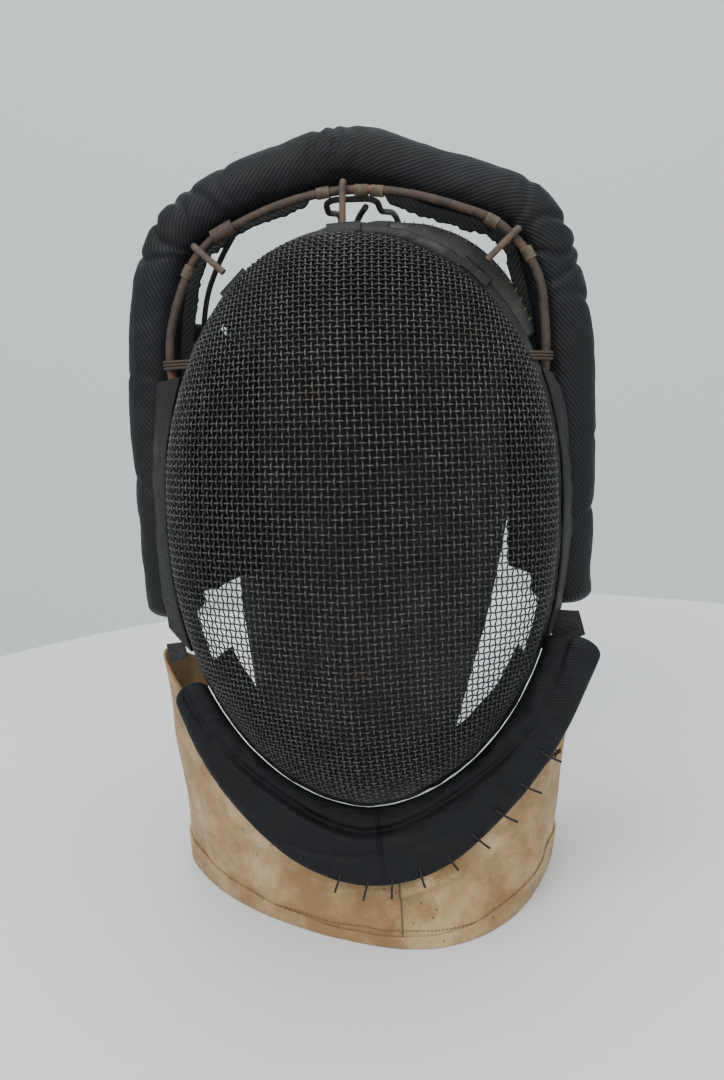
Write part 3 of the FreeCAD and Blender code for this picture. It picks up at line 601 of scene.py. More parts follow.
def canvas_look(name):
    """Tan cotton twill with brown and rusty stains, darker in patches where it was handled, and darker
    towards the hem.
    """
    look = Look(name)
    place = look.node("SeparateXYZ", {"Vector": look.weave()})
    slanting = look.math("ADD", place.outputs["X"], look.math("MULTIPLY", place.outputs["Y"], 0.8))
    wander = look.math("MULTIPLY", look.noise(60.0, detail=2.0), 4.0)
    rib = look.math("SINE", look.math("MULTIPLY_ADD", slanting, 3.3, wander))
    thread = look.math("SINE", look.math("MULTIPLY", place.outputs["X"], 11.0))
    weave = look.math("MULTIPLY_ADD", thread, 0.25, rib)
    tone = look.range(look.noise(26.0, detail=5.0, roughness=0.62), 0.40, 0.62)
    colour = look.mix(tone, (0.340, 0.200, 0.078), (0.620, 0.440, 0.235))
    colour = look.mix(look.math("MULTIPLY", look.range(weave, -1, 1), 0.22), colour, (0.20, 0.135, 0.075))
    # darker towards the hem, fading out 38 mm above it
    low = look.range(place.outputs["Y"], 38.0, -4.0)
    dirt = look.math("MULTIPLY", look.range(look.noise(38.0, detail=6.0, roughness=0.7), 0.42, 0.62), 0.9)
    colour = look.mix(look.math("MULTIPLY_ADD", low, 0.22, look.math("MULTIPLY", dirt, 0.55)), colour,
                      (0.235, 0.135, 0.055))
    rust = look.range(look.noise(21.0, detail=7.0, roughness=0.75), 0.53, 0.66)
    colour = look.mix(look.math("MULTIPLY", rust, 0.55), colour, (0.23, 0.095, 0.025))
    specks = look.range(look.cells(170.0), 0.16, 0.05)
    near = look.range(look.noise(30.0, detail=2.0), 0.53, 0.60)
    specks = look.math("MULTIPLY", look.math("MULTIPLY", specks, near), 0.75)
    colour = look.mix(specks, colour, (0.055, 0.03, 0.014))
    wrinkles = look.bump(look.noise(36.0, detail=5.0), 0.0060, 0.6)
    look.set(
        Base_Color=colour, Roughness=0.92, Specular_IOR_Level=0.2, Sheen_Weight=0.12, Sheen_Roughness=0.6,
        Normal=look.bump(weave, 0.00016, 0.8, wrinkles),
    )
    return look.material


def thread_look(name, colour):
    look = Look(name)
    tone = look.noise(700.0, detail=3.0)
    dark, light = (tuple(factor * part for part in colour) for factor in (0.5, 1.4))
    look.set(
        Base_Color=look.mix(tone, dark, light),
        Roughness=0.8, Normal=look.bump(look.noise(2600.0), 0.00015),
    )
    return look.material


ROLL_TWILL = twill("roll_twill", 38.0)
LINING = twill("lining_twill", 30.0, (0.0028, 0.0030, 0.0035), (0.0085, 0.0090, 0.0105), 1.2, 0.0002)
COLLAR_CLOTH = twill("collar_cloth", 64.0, (0.0030, 0.0033, 0.0042), (0.0095, 0.0108, 0.0140), 1.5, 0.00016)
GREY_LEATHER = leather("grey_leather", (0.009, 0.009, 0.0095), (0.026, 0.026, 0.026), (0.10, 0.10, 0.095))
FLAP_LEATHER = leather(
    "flap_leather", (0.014, 0.016, 0.014), (0.040, 0.043, 0.038), (0.12, 0.12, 0.11), rub=0.58
)
BLACK_LEATHER = leather("black_leather", (0.006, 0.006, 0.0065), (0.018, 0.018, 0.019), (0.07, 0.07, 0.068))
PAD_LEATHER = leather(
    "pad_leather", (0.004, 0.004, 0.0043), (0.012, 0.012, 0.0125), (0.035, 0.035, 0.034), rub=0.56
)
HOOP_IRON = iron("hoop_iron", (0.030, 0.022, 0.018), (0.085, 0.055, 0.040), (0.16, 0.070, 0.038))
DARK_IRON = iron("dark_iron", (0.018, 0.017, 0.016), (0.055, 0.048, 0.042), (0.10, 0.055, 0.035), 0.6)
HOOK_IRON = iron("hook_iron", (0.050, 0.036, 0.028), (0.125, 0.088, 0.066), (0.15, 0.080, 0.050))
COIL_WIRE = iron("coil_wire", (0.075, 0.060, 0.042), (0.210, 0.165, 0.110), (0.13, 0.07, 0.035), 0.62)
CANVAS = canvas_look("canvas")
BLACK_THREAD = thread_look("black_thread", (0.010, 0.010, 0.011))
TAN_THREAD = thread_look("tan_thread", (0.13, 0.090, 0.050))
TIE_THREAD = thread_look("tie_thread", (0.050, 0.034, 0.022))
DARN_THREAD = thread_look("darn_thread", (0.045, 0.022, 0.010))


def finish_piece(piece, look, body="mask", stands_for=()):
    piece.data.materials.append(look)
    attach(piece, body)
    if stands_for:
        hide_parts(*stands_for)
    return piece


def smooth_line(points, count):
    """Evenly spaced points along a smooth curve through the given ones."""
    points = np.asarray(points, float)
    ends = np.concatenate([[2 * points[0] - points[1]], points, [2 * points[-1] - points[-2]]])
    fine = []
    for a, b, c, d in zip(ends, ends[1:], ends[2:], ends[3:]):
        t = np.linspace(0, 1, 40, endpoint=False)[:, None]
        square = 2 * a - 5 * b + 4 * c - d
        cube = 3 * b - a - 3 * c + d
        fine.append(0.5 * (2 * b + (c - a) * t + square * t**2 + cube * t**3))
    fine = np.concatenate(fine + [points[-1:]])
    length = np.concatenate([[0], np.cumsum(np.linalg.norm(np.diff(fine, axis=0), axis=1))])
    places = np.linspace(0, length[-1], count)
    return np.stack([np.interp(places, length, fine[:, axis]) for axis in range(3)], -1), length[-1]


def rim_point(angle, offset=0.0, w=0.0):
    """Point of the rim, angle in degrees from +u, offset outwards."""
    turn = np.radians(np.asarray(angle, float))
    upper = np.sin(turn) >= 0
    across = np.sign(np.cos(turn)) * np.abs(np.cos(turn)) ** np.where(upper, UPPER_FULLNESS, LOWER_FULLNESS)
    rise = np.where(upper, np.sin(turn), -np.abs(np.sin(turn)) ** LOWER_SQUARENESS)
    reach = np.where(upper, RIM_RISE, RIM_DROP)
    u = (RIM_HALF_WIDTH + offset) * across
    v = RIM_WIDEST + (reach + offset) * rise
    return np.stack([u, v, np.broadcast_to(w, u.shape)], -1)


def bumps(value, *places):
    """Sum of smooth humps along a line: each place is (where, how wide, how high)."""
    return sum(high * np.exp(-((value - where) / wide) ** 2) for where, wide, high in places)


def stuffed_tube(name, points, radius, rows, sides, shaper=None, seed=1, lump=0.7):
    """Closed tube of cloth round a line; shaper(share, turn) is added to its radius, in mm."""
    line, length = smooth_line(points, rows)
    share = np.linspace(0, 1, rows)
    along = unit(np.gradient(line, axis=0))
    outward = unit(np.cross(np.broadcast_to(FORWARD, along.shape), along)) * -1
    turn = np.arange(sides) * 2 * math.pi / sides
    spread = np.broadcast_to(radius, (rows,))[:, None] * np.ones(sides)
    if shaper is not None:
        spread = spread + shaper(share[:, None], turn[None, :])
    direction = np.cos(turn)[None, :, None] * outward[:, None] + np.sin(turn)[None, :, None] * FORWARD
    grid = line[:, None] + direction * spread[..., None]
    spread = spread + roughly(grid, 14.0, seed) * lump + roughly(grid, 5.0, seed + 3) * lump * 0.3
    end = np.clip(np.minimum(share, 1 - share) * length / (radius * 0.5), 0, 1)
    spread *= np.sqrt(np.maximum(1 - (1 - end) ** 2, 0.0004))[:, None]
    grid = line[:, None] + direction * spread[..., None]
    uv_turn = np.arange(sides + 1) * 2 * math.pi / sides * radius
    uv = np.stack(np.broadcast_arrays((share * length)[:, None], uv_turn[None, :]), -1)
    return grid_mesh(name, world(grid), uv, (False, True))


def slab(name, first, second, thickness, waves=0.5, seed=1, steps=14, lift=0.0):
    """Thin piece of leather or cloth between two edges of equal count, thickness along its normal."""
    first, second = np.asarray(first, float), np.asarray(second, float)
    share = np.linspace(0, 1, steps)[None, :, None]
    middle = first[:, None] * (1 - share) + second[:, None] * share
    normal = unit(np.cross(np.gradient(middle, axis=0), np.gradient(middle, axis=1)))
    normal *= np.sign(normal[..., 2:].mean() or 1)
    hump = np.sin(np.pi * share) * lift
    middle = middle + normal * (roughly(middle, 11.0, seed)[..., None] * waves + hump)
    half = normal * thickness / 2
    loop = np.concatenate([middle + half, (middle - half)[:, ::-1]], 1)
    length = np.concatenate([[0], np.cumsum(np.linalg.norm(np.diff(loop[:, 0], axis=0), axis=1))])
    width = np.linalg.norm(second - first, axis=1).mean()
    around = np.concatenate([np.linspace(0, width, steps), np.linspace(width, 0, steps), [0]])
    uv = np.stack(np.broadcast_arrays(length[:, None], around[None, :]), -1)
    return grid_mesh(name, world(loop), uv, (False, True), True)


def threads(name, lines, radius, sides=6):
    wires = []
    for line in lines:
        line = np.asarray(line, float)
        wires.append((world(line), np.tile(AXES[2] + 0.01, (len(line), 1)), radius * MM))
    return bundle(name, wires, sides)


# ---------------------------------------------------------------- crown roll
ROLL_POINTS = [
    (-101, -51), (-106, 15), (-108, 88), (-99, 138), (-76, 161), (-42, 175), (-5, 184), (40, 170), (82, 153),
    (97, 118), (102, 60), (98, -46),
]
ROLL_W = -28.0
ROLL_RADIUS = 15.2
ROLL_ROWS = 620

# share of the way along the roll, width as such a share, and depth or height in mm
ROLL_CREASES = (
    (0.312, 0.0035, 1.5), (0.330, 0.0035, 1.9), (0.350, 0.0040, 1.7), (0.372, 0.0040, 1.2),
    (0.395, 0.004, 0.9), (0.655, 0.0040, 1.1), (0.678, 0.0040, 1.8), (0.700, 0.0035, 2.0),
    (0.719, 0.0035, 1.6), (0.742, 0.004, 1.1), (0.475, 0.0035, 1.3), (0.489, 0.0035, 1.5),
    (0.505, 0.004, 1.0), (0.12, 0.004, 0.5), (0.21, 0.004, 0.6), (0.86, 0.004, 0.6),
    (0.92, 0.004, 0.8),
)
ROLL_DIMPLE = (0.478, 0.016, 2.4)
ROLL_HUMP = (0.512, 0.022, 1.0)


def roll_shape(share, turn):
    """Creases where the roll turns, and the soft hump and dimple over the top hook."""
    inner = 0.5 - 0.5 * np.cos(turn)
    shape = 0.0
    for where, wide, deep in ROLL_CREASES:
        winding = share + 0.006 * np.sin(turn * 2 + where * 90)
        shape = shape - bumps(winding, (where, wide, deep)) * (0.25 + inner)
    front = np.clip(np.sin(turn), 0, 1)
    dimple = bumps(share, ROLL_DIMPLE) * front * np.exp(-((turn - 1.5) / 0.7) ** 2)
    return shape - dimple + bumps(share, ROLL_HUMP) * (1 - inner) * 0.8


roll = stuffed_tube(
    "roll_cover", [(u, v, ROLL_W) for u, v in ROLL_POINTS], ROLL_RADIUS, ROLL_ROWS, 88, roll_shape, 4, 0.8
)
finish_piece(roll, ROLL_TWILL, "mask", ("crown_roll_cover", "crown_roll_stuffing"))


def offset_line(points, distance, w, count):
    """The same line moved inward in the face's plane."""
    line, _ = smooth_line([(u, v, w) for u, v in points], count)
    along = unit(np.gradient(line, axis=0))
    inward = np.cross(along, FORWARD)
    return line + inward * distance


def seam_flange(name, start, stop, seed):
    """The raw edge of the roll's seam, frayed."""
    first = offset_line(ROLL_POINTS, 13.6, -21.4, 900)[start:stop]
    second = offset_line(ROLL_POINTS, 20.6, -20.4, 900)[start:stop]
    fray = roughly(first, 2.6, seed)[:, None] * 1.1 + roughly(first, 9.0, seed + 1)[:, None] * 1.2
    ends = np.clip(np.minimum(np.arange(stop - start), np.arange(stop - start)[::-1]) / 12, 0, 1)[:, None]
    second = first + (second - first) * ends * (1 + fray / 7.0)
    return slab(name, first, second, 1.1, 0.5, seed, 8)


seam_left = seam_flange("roll_seam_left", 150, 418, 5)
seam_right = seam_flange("roll_seam_right", 482, 760, 9)
for piece in (seam_left, seam_right):
    finish_piece(piece, ROLL_TWILL)
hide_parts("crown_roll_seam")

# ---------------------------------------------------------------- rim binding
BINDING_RADIUS = 3.9
BINDING_SIDES = 22
# rough lengths round the rim and round the binding, in mm, for the place on the leather
RIM_LENGTH = 850
BINDING_ROUND = 24


def make_binding():
    """Leather sewn round the rim's wire, its seam a groove towards the front."""
    rim_angles = np.linspace(0, 360, 541)[:-1]
    rim_line = rim_point(rim_angles)
    rim_along = unit(np.roll(rim_line, -1, 0) - np.roll(rim_line, 1, 0))
    rim_out = np.cross(rim_along, FORWARD)
    rim_turn = np.arange(BINDING_SIDES) * 2 * math.pi / BINDING_SIDES
    rim_direction = (
        np.cos(rim_turn)[None, :, None] * rim_out[:, None] + np.sin(rim_turn)[None, :, None] * FORWARD
    )
    rim_grid = rim_line[:, None] + rim_direction * BINDING_RADIUS
    rim_swell = BINDING_RADIUS + roughly(rim_grid, 6.0, 11) * 0.35 + roughly(rim_grid, 2.2, 12) * 0.14
    rim_swell = rim_swell - bumps(rim_turn, (0.9, 0.18, 0.5))[None, :]
    rim_grid = rim_line[:, None] + rim_direction * rim_swell[..., None]
    rim_length = np.linspace(0, RIM_LENGTH, len(rim_line) + 1)
    rim_round = np.linspace(0, BINDING_ROUND, BINDING_SIDES + 1)
    rim_uv = np.stack(np.broadcast_arrays(rim_length[:, None], rim_round[None, :]), -1)
    binding = grid_mesh("binding", world(rim_grid), rim_uv, (True, True))
    finish_piece(binding, BLACK_LEATHER, "mask", ("rim_binding",))


make_binding()

# ---------------------------------------------------------------- hoop's whippings
HOOP_POINTS = [
    (-93, 60), (-97, 84), (-92, 112), (-79, 137), (-52, 153), (-8, 164), (42, 157), (74, 142), (88, 122),
    (92, 96), (90, 62),
]
HOOP_W = -7.4
hoop_line, _ = smooth_line([(u, v, HOOP_W) for u, v in HOOP_POINTS], 1600)


COIL_LENGTH = 6.4
COIL_TURNS = 8
COIL_RADIUS = 2.72
COIL_WIRE_RADIUS = 0.40


def coil(place):
    """Helix of fine wire round the hoop, near a place given in u and v."""
    nearest = int(np.argmin(np.linalg.norm(hoop_line[:, :2] - place, axis=1)))
    middle = hoop_line[nearest]
    along = unit(hoop_line[nearest + 4] - hoop_line[nearest - 4])
    outward = np.cross(along, FORWARD)
    turn = np.linspace(0, 2 * math.pi * COIL_TURNS, COIL_TURNS * 20)
    run = (np.linspace(-0.5, 0.5, len(turn)) * COIL_LENGTH)[:, None]
    path = middle + along * run + COIL_RADIUS * (
        np.cos(turn)[:, None] * outward + np.sin(turn)[:, None] * FORWARD
    )
    normal = unit(path - (middle + along * run))
    return world(path), normal @ AXES, COIL_WIRE_RADIUS * MM


for name, stands_for, places in (
    ("coil_left", "whipping_left", [(-86, 126)]),
    ("coil_top", "whipping_top", [(-17, 163), (2, 164), (10, 163.5)]),
    ("coil_right", "whipping_right", [(67, 147), (84, 130)]),
):
    piece = bundle(name, [coil(place) for place in places], 7)
    finish_piece(piece, COIL_WIRE, "mask", (stands_for,))

# ---------------------------------------------------------------- leather between rim and roll
STRIP = 60
for name, angles, outer, stands_for, seed in (
    ("cheek_left", (154, 206), [(-104, 71, -8), (-106.5, 48, -10), (-107.5, 12, -10), (-105.5, -30, -10),
                                (-101, -54, -8)], "cheek_strip_left", 21),
    ("cheek_right", (26, -26), [(95, 71, -5), (101, 54, -8), (103.5, 20, -10), (102.5, -12, -10),
                                (97.5, -45, -8)], "cheek_strip_right", 25),
):
    inner_edge = rim_point(np.linspace(*angles, STRIP), 4.4, 0.4)
    outer_edge, _ = smooth_line(outer, STRIP)
    ragged = roughly(outer_edge, 8.0, seed)[:, None] * [0.7, 0, 0.5]
    piece = slab(name, inner_edge, outer_edge + ragged, 1.6, 0.45, seed, 12, 0.5)
    finish_piece(piece, BLACK_LEATHER, "mask", (stands_for,))

flap_angles = np.linspace(34, 82, STRIP)
flap_swell = np.sin(math.pi * (flap_angles - 26) / 60)
flap_outer = rim_point(flap_angles, 4.5 + 8.5 * flap_swell, -7.0 - 7.0 * flap_swell)
flap = slab("brow_flap_leather", rim_point(flap_angles, 2.5, -6.0), flap_outer, 1.6, 0.35, 31, 12, 0.8)
finish_piece(flap, FLAP_LEATHER, "mask", ("brow_flap",))
edge_line = rim_point(flap_angles, 4.5 + 8.0 * flap_swell, -5.6 - 7.0 * flap_swell)
FLAP_STITCH = np.array([[-0.9, -1.2, 0.3], [0.0, 0.0, 0.9], [0.9, 1.2, 0.2]])
whip = [edge_line[i] + FLAP_STITCH for i in range(4, STRIP - 4, 3)]
flap_thread = threads("brow_flap_thread", whip, 0.28)
finish_piece(flap_thread, TAN_THREAD)

# ---------------------------------------------------------------- brow pad
brow = rim_point(np.linspace(42, 138, 13), -3.0, -17.0)
brow_pad = stuffed_tube(
    "brow_pad", brow, 6.8, 170, 36,
    lambda share, turn: -0.5 * np.abs(np.sin(share * math.pi * 26)) * (0.4 + 0.6 * np.cos(turn) ** 2),
    41, 0.35,
)
finish_piece(brow_pad, LINING, "mask", ("brow_pad_cover", "brow_pad_stuffing"))

# ---------------------------------------------------------------- side panels
PANEL_PROFILE = [(-100, -44.8), (-104, -62), (-103, -84), (-92, -107), (-71, -122)]


def panel_limits(w):
    """Lowest and highest v of the panel at a depth."""
    low = -44 + 14 * np.clip((-104 - w) / 26, 0, 1)
    high = np.where(w > -58, 105 - 27 * (w + 58) / 18, np.where(w > -108, 105, 105 + 34 * (w + 108) / 22))
    return low, high


def side_panel(side, seed):
    line, _ = smooth_line([(-side * u, 0, w) for u, w in PANEL_PROFILE], 46)
    low, high = panel_limits(line[:, 2])
    bottom, top = line.copy(), line.copy()
    bottom[:, 1], top[:, 1] = low, high
    return slab("side_panel_cloth_" + ("right" if side > 0 else "left"), bottom, top, 1.6, 0.8, seed, 40)


for side, label in ((-1, "side_panel_left"), (1, "side_panel_right")):
    finish_piece(side_panel(side, 50 + side), LINING, label, (label,))

# ---------------------------------------------------------------- tongue
TONGUE_STATIONS = [
    (151, -58, 24), (145, -91, 52), (118, -125, 78), (60, -146, 84), (0, -151, 82), (-62, -146, 73),
    (-122, -130, 59), (-147, -123, 54),
]
PAD_ROWS = 150
PAD_ACROSS = 84
# how far the pad leans to one side for each mm below its top
PAD_SWAY = 0.06
PAD_TOP = 160
# its edges wrap forward by this much where it is widest
PAD_WRAP = 7.0
PAD_WIDEST = 84
# length over which its ends close, rough length round it, and the quilted channels' pitch
PAD_END = 6
PAD_ROUND = 330
QUILT_PITCH = 26
# v, reach and height of the swelling at its shoulders
PAD_SHOULDER = (112, 22, 5.0)


def make_tongue_pad():
    """Quilted leather pad behind the head."""
    line, length = smooth_line([(half, v, w) for v, w, half in TONGUE_STATIONS], PAD_ROWS)
    down = unit(np.gradient(line, axis=0) * [0, 1, 1])
    back = unit(np.cross([1.0, 0, 0], down))
    centre = line * [0, 1, 1] - np.outer(PAD_SWAY * (PAD_TOP - line[:, 1]), [1.0, 0, 0])
    turn = np.arange(PAD_ACROSS) * 2 * math.pi / PAD_ACROSS
    across = np.sign(np.cos(turn)) * np.abs(np.cos(turn)) ** 0.7
    swell = np.sign(np.sin(turn)) * np.abs(np.sin(turn)) ** 0.6
    share = np.linspace(0, 1, PAD_ROWS)
    from_end = np.minimum(share, 1 - share) * length
    end = np.sqrt(1 - (1 - np.clip(from_end / PAD_END, 0, 1)) ** 2)
    wide = line[:, :1] + bumps(line[:, 1:2], PAD_SHOULDER) - 1.0
    pad_u = wide * across[None, :]
    quilt = np.abs(np.sin(pad_u * math.pi / QUILT_PITCH)) ** 0.5 * 1.4 - 1.0
    thick = (4.5 - 1.6 * across[None, :] ** 2) * end[:, None] * np.abs(swell)[None, :]
    thick = thick + quilt * np.abs(swell) * 0.7
    wrap = PAD_WRAP * (pad_u / PAD_WIDEST) ** 2
    grid = (
        centre[:, None] + pad_u[..., None] * [1.0, 0, 0]
        + back[:, None] * (np.sign(swell)[None, :] * thick - wrap)[..., None]
    )
    grid = grid + roughly(grid, 16.0, 61)[..., None] * back[:, None] * 0.5
    uv = np.stack(np.broadcast_arrays(
        np.linspace(0, length, PAD_ROWS)[:, None], np.linspace(0, PAD_ROUND, PAD_ACROSS + 1)[None, :]
    ), -1)
    pad = grid_mesh("tongue_pad", world(grid), uv, (False, True))
    finish_piece(pad, PAD_LEATHER, "tongue", ("tongue_pad_cover", "tongue_pad_stuffing"))


make_tongue_pad()

# ---------------------------------------------------------------- collar
COLLAR = np.array([
    (212, 17), (226, 23), (242, 29), (257, 37), (270, 40), (284, 39), (300, 31), (316, 28),
    (333, 27), (338, 30),
], float)
COLLAR_ROWS, COLLAR_SIDES = 420, 84
COLLAR_START = 4.1
COLLAR_LIFT = 1.5
COLLAR_SLOPE = 4.0
COLLAR_SLOPE_WIDTH = 40
COLLAR_HALF_THICKNESS = 5.7
COLLAR_END_ROWS = 9
# rough lengths along the collar and round it, in mm
COLLAR_LENGTH = 380
COLLAR_ROUND = 90
CHIN_ANGLE = 268
# angle, width in degrees and depth in mm of the seams across it
COLLAR_SEAMS = ((273, 0.6, 1.6), (281, 0.8, 0.8), (262, 0.8, 0.7))


def make_collar():
    """Padded collar, with folds that follow the rim."""
    angle = np.linspace(COLLAR[0, 0], COLLAR[-1, 0], COLLAR_ROWS)
    width = np.interp(angle, COLLAR[:, 0], COLLAR[:, 1])
    width = np.convolve(np.pad(width, 20, "edge"), np.ones(41) / 41, "valid")
    inner = rim_point(angle)
    along = unit(np.gradient(inner, axis=0))
    out = np.cross(along, FORWARD)
    turn = np.arange(COLLAR_SIDES) * 2 * math.pi / COLLAR_SIDES
    slope = COLLAR_SLOPE * width / COLLAR_SLOPE_WIDTH
    axle = unit(out * (width / 2)[:, None] + FORWARD * (slope / 2)[:, None])
    face_out = unit(np.cross(along, axle)) * -1
    face_out *= np.sign(face_out[:, 2:])
    centre = inner + out * (COLLAR_START + width / 2)[:, None]
    centre = centre + np.outer(COLLAR_LIFT + slope / 2, FORWARD)
    reach_out = -np.sign(np.cos(turn)) * np.abs(np.cos(turn)) ** 0.85
    thick_out = np.sign(np.sin(turn)) * np.abs(np.sin(turn)) ** 0.8
    place = (1 + reach_out) / 2 * np.ones((COLLAR_ROWS, 1)) * width[:, None]
    middle = np.exp(-((angle - CHIN_ANGLE) / 26) ** 2)[:, None]
    front = np.clip(thick_out, 0, 1)[None, :]
    fold = -bumps(place + 2.0 * np.sin(angle / 9)[:, None], (10.0, 1.7, 3.3)) * (0.45 + middle)
    fold = fold + bumps(place + 3.0 * np.sin(angle / 13 + 2)[:, None], (15.5, 3.6, 1.6)) * (0.3 + middle)
    fold = fold - bumps(place + 3.0 * np.sin(angle / 11 + 1)[:, None], (25.0, 1.4, 1.7)) * middle
    fold = fold - bumps(angle, *COLLAR_SEAMS)[:, None]
    outer_half = place > width[:, None] * 0.5
    fold = fold - 0.7 * np.abs(np.sin(angle * 0.55))[:, None] * (1 - middle) * outer_half
    half_thick = COLLAR_HALF_THICKNESS * thick_out[None, :] + fold * front
    grid = (
        centre[:, None] + axle[:, None] * (reach_out[None, :] * width[:, None] / 2)[..., None]
        + face_out[:, None] * half_thick[..., None]
    )
    grid = grid + face_out[:, None] * (
        roughly(grid, 10.0, 71) * 1.5 + roughly(grid * [0.45, 1, 1], 3.6, 72) * 0.6
    )[..., None]
    from_end = np.minimum(np.arange(COLLAR_ROWS), np.arange(COLLAR_ROWS)[::-1])
    closing = np.sqrt(1 - (1 - np.clip(from_end / COLLAR_END_ROWS, 0, 1)) ** 2)[:, None, None]
    grid = centre[:, None] + (grid - centre[:, None]) * np.maximum(closing, 0.02)
    uv = np.stack(np.broadcast_arrays(
        np.linspace(0, COLLAR_LENGTH, COLLAR_ROWS)[:, None],
        np.linspace(0, COLLAR_ROUND, COLLAR_SIDES + 1)[None, :],
    ), -1)
    collar = grid_mesh("collar", world(grid), uv, (False, True))
    finish_piece(collar, COLLAR_CLOTH, "mask", ("collar_cover", "collar_padding"))


make_collar()

# ---------------------------------------------------------------- chin lining, a dark sheet that also stands in for the shade under the chin
CHIN_SHADE_DEPTH = -44.0


def make_chin_shade_lining():
    """Cloth hung back from behind the lower rim, drawn in under the chin: a dark lining that also stands in
    for the shade inside the mask under the chin.
    """
    angle = np.linspace(210, 330, 121)
    front = rim_point(angle, -0.5, -4.8)
    chin = np.exp(-((angle - 270) / 32) ** 2)
    back = rim_point(angle, -5.4 - 10.0 * chin, CHIN_SHADE_DEPTH)
    back[:, 2] += roughly(back, 9.0, 77) * 0.8
    # dark cloth: partly the lining, partly a dark sheet put where the shade under the chin falls
    lining = slab("chin_shade_lining_cloth", front, back, 1.3, 0.8, 76, 26)
    finish_piece(lining, LINING, "mask", ("chin_lining",))


make_chin_shade_lining()

# ---------------------------------------------------------------- bib
BIB_STATIONS = np.array([
    (-97, 46, 112, -98, 66), (-112, 6, 141, -112, 33), (-100, -14, 126, -97, 4), (-74, -26, 92, -74, -22),
    (-40, -38, 55, -38, -46), (-8, -44, 43, -6, -58), (14, -44, 44, 15, -64), (40, -38, 55, 42, -61),
    (74, -26, 92, 68, -40), (98, -14, 126, 84, -4), (107, 6, 141, 92, 32), (94, 46, 112, 90, 62),
], float)
SEAM_STATION = 6
FACE_HEIGHT = 209.0
STAND = ORIGIN / MM - UP * FACE_HEIGHT
HEM_HEIGHT = 9.0
BIB_COLUMNS = 44
# rows all round the bib, a hundred to a station
ROWS_ALL_ROUND = 1101


def smooth_value(spots, index, values):
    """Smooth curve through one value a station."""
    fine = np.linspace(index[0], index[-1], 12 * (len(index) - 1) + 1)
    linear = np.interp(fine, index, values)
    soft = np.convolve(np.pad(linear, 6, "reflect", reflect_type="odd"), np.ones(13) / 13, "valid")
    return np.interp(spots, fine, soft)


def bib_rows(first, last, count, low, high_share, layer):
    """Points of the canvas between two stations: rows along the hem, columns from low up."""
    spots = np.linspace(first, last, count)
    index = np.arange(len(BIB_STATIONS))
    tops = np.stack([smooth_value(spots, index, BIB_STATIONS[:, axis]) for axis in range(3)], -1)
    feet = [smooth_value(spots, index, BIB_STATIONS[:, axis]) for axis in (3, 4)]
    feet = np.stack(feet + [0 * spots], -1)
    low_share = low / tops[:, 2]
    share = low_share[:, None] + (high_share - low_share[:, None]) * np.linspace(0, 1, BIB_COLUMNS)
    grid = feet[:, None] + (tops - feet)[:, None] * share[..., None]
    along = unit(np.gradient(feet, axis=0))
    inward = np.cross(UP, along)
    ease = np.sin(np.pi * np.clip(share, 0, 1)) ** 0.7
    fold = roughly(feet, 20.0, 81)[:, None] * 3.2 * ease
    fold = fold + roughly(grid * [1, 1, 0.6], 26.0, 82) * 2.4 * ease
    fold = fold - 2.6 * ease * np.exp(-((spots[:, None] - (5.2 + 1.7 * share)) / 0.28) ** 2)
    ledge = np.exp(-((spots[:, None] - 6.4) / 1.5) ** 2) * np.clip((share - 0.50) / 0.10, 0, 1)
    hollow = np.exp(-((share - 0.42) / 0.14) ** 2) * np.exp(-((spots[:, None] - 6.8) / 1.3) ** 2)
    fold = fold - 4.0 * ledge + 2.4 * hollow
    grid = grid + inward[:, None] * (fold + layer)[..., None]
    return grid


def canvas_sheet(name, first, last, count, low, high_share, thickness, layer=0.0):
    """Closed sheet of canvas, and its width, length and area as measured along its own middle, in metres."""
    grid = bib_rows(first, last, count, low, high_share, layer)
    normal = unit(np.cross(np.gradient(grid, axis=0), np.gradient(grid, axis=1)))
    half = normal * thickness / 2
    loop = np.concatenate([grid + half, (grid - half)[:, ::-1]], 1)
    columns = grid.shape[1]
    run = np.linalg.norm(np.diff(grid[:, columns // 2], axis=0), axis=1).sum()
    rise = np.linalg.norm(np.diff(grid, axis=1), axis=2).sum(1)
    heights = np.concatenate([np.linspace(0, 1, columns), np.linspace(1, 0, columns), [0]])
    uv = np.stack(np.broadcast_arrays(
        np.linspace(0, run, len(loop))[:, None] + first * 20, heights[None, :] * rise[:, None]
    ), -1)
    piece = grid_mesh(name, (loop + STAND) * MM, uv, (False, True), True)
    a, b = grid[1:, 1:] - grid[:-1, :-1], grid[1:, :-1] - grid[:-1, 1:]
    area = np.linalg.norm(np.cross(a, b), axis=2).sum() / 2
    width = max(np.linalg.norm(np.diff(grid[:, k], axis=0), axis=1).sum() for k in range(columns))
    return piece, (float(width * MM), float(rise.max() * MM)), float(area * MM * MM)


last_station = len(BIB_STATIONS) - 1
for name, first, last, stands_for in (
    ("bib_canvas_left", 0, SEAM_STATION, "bib_left"),
    ("bib_canvas_right", SEAM_STATION, last_station, "bib_right"),
):
    piece, flat, area = canvas_sheet(name, first, last, 170, HEM_HEIGHT * 0.2, 1.0, 1.3)
    finish_piece(piece, CANVAS, "mask", (stands_for,))
hem_grid_piece, hem_flat, hem_area = canvas_sheet(
    "bib_hem_canvas", 0, last_station, 340, 0.3, 0.12, 1.2, -1.5
)
finish_piece(hem_grid_piece, CANVAS, "mask", ("bib_hem",))

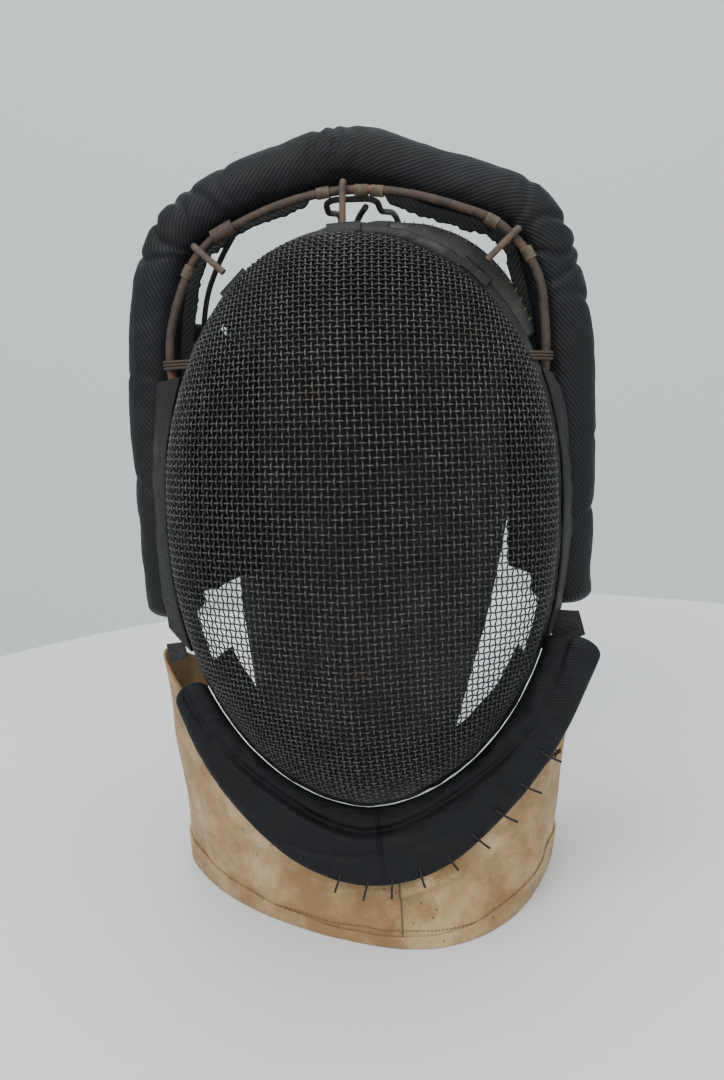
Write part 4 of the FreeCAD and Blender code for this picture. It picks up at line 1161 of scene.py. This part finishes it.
# ---------------------------------------------------------------- whip stitches and darn
whips = []
for angle in range(262, 320, 7):
    width = 40 - abs(angle - 272) * 0.32
    base = rim_point(np.array([angle]), width + 3.0, 6.5)[0]
    ahead = rim_point(np.array([angle + 2]), width + 3.0, 6.5)[0]
    out = np.cross(unit(ahead - base), FORWARD)
    t = np.linspace(0, 1, 8)[:, None]
    lean = unit(ahead - base) * (t - 0.4) * (3.5 * math.sin(angle * 1.7))
    rise = FORWARD * (1.6 - 4.2 * t + 2.0 * np.sin(math.pi * t))
    whips.append(base + out * (t * 12.5 - 3.0) + lean + rise)
stitches = threads("whip_stitches", whips, 0.62)
finish_piece(stitches, BLACK_THREAD, "mask", ("collar_stitches",))


def on_bib(spots, share, layer):
    """Points on the canvas's outside, at stations and at shares of its height, in metres."""
    grid = bib_rows(0, last_station, ROWS_ALL_ROUND, 0.0, 1.0, layer)
    row = np.round(np.asarray(spots) * 100).astype(int)
    column = np.round(np.asarray(share) * (BIB_COLUMNS - 1)).astype(int)
    return (grid[row, column] + STAND) * MM


def cloth_threads(name, lines, radius):
    """Threads that lie on the canvas, each a line of points in metres."""
    strands = [(line, np.tile([0.02, -0.9, 0.4], (len(line), 1)), radius * MM) for line in lines]
    return bundle(name, strands, 6)


DARN_STROKES = 17
DARN_LOST = (9, 10, 12)
darn = []
for stroke in range(DARN_STROKES):
    if stroke in DARN_LOST:
        continue
    start = on_bib([8.15 + stroke * 0.065], [0.82 - 0.012 * stroke], -1.1)[0]
    sway = 0.0012 * math.sin(stroke * 2.3)
    darn.append(start + np.array([
        [-0.0009 + sway, 0, -0.0015], [0, -0.0006, 0],
        [0.0011, -0.0004, 0.0012], [0.0022 + sway, 0.0001, 0.0020],
    ]))
darning = cloth_threads("darning", darn, 0.55)
finish_piece(darning, DARN_THREAD)
seam_share = np.linspace(0.02, 0.98, 40)
seam_line = on_bib(np.full(40, float(SEAM_STATION)), seam_share, -0.75)
centre_seam = cloth_threads("bib_centre_seam", [seam_line], 0.45)
finish_piece(centre_seam, TAN_THREAD)
hem_lines = []
hem_grid = bib_rows(0, last_station, ROWS_ALL_ROUND, HEM_HEIGHT - 0.8, 0.5, -1.2)
for first in range(4, 1090, 7):
    hem_lines.append((hem_grid[first:first + 5, 0] + STAND) * MM)
hem_stitches = cloth_threads("bib_hem_stitches", hem_lines, 0.22)
finish_piece(hem_stitches, TAN_THREAD)

# ---------------------------------------------------------------- parts that keep their CAD shape
for names, look in (
    (("crown_hoop", "hoop_splice"), HOOP_IRON),
    (("hook_left", "hook_top", "hook_right"), HOOK_IRON),
    (("side_stay_left", "side_stay_right", "tongue_wire", "tongue_brace", "rim_wire"), DARK_IRON),
    (("binding_wraps", "tongue_keepers"), BLACK_LEATHER),
    (("collar_tab_right", "collar_tab_left"), GREY_LEATHER),
    (("rim_tie_left", "rim_tie_right"), TIE_THREAD),
):
    for name in names:
        cad_node = frame["nodes"][name]
        cad_node.data.materials.clear()
        cad_node.data.materials.append(look)
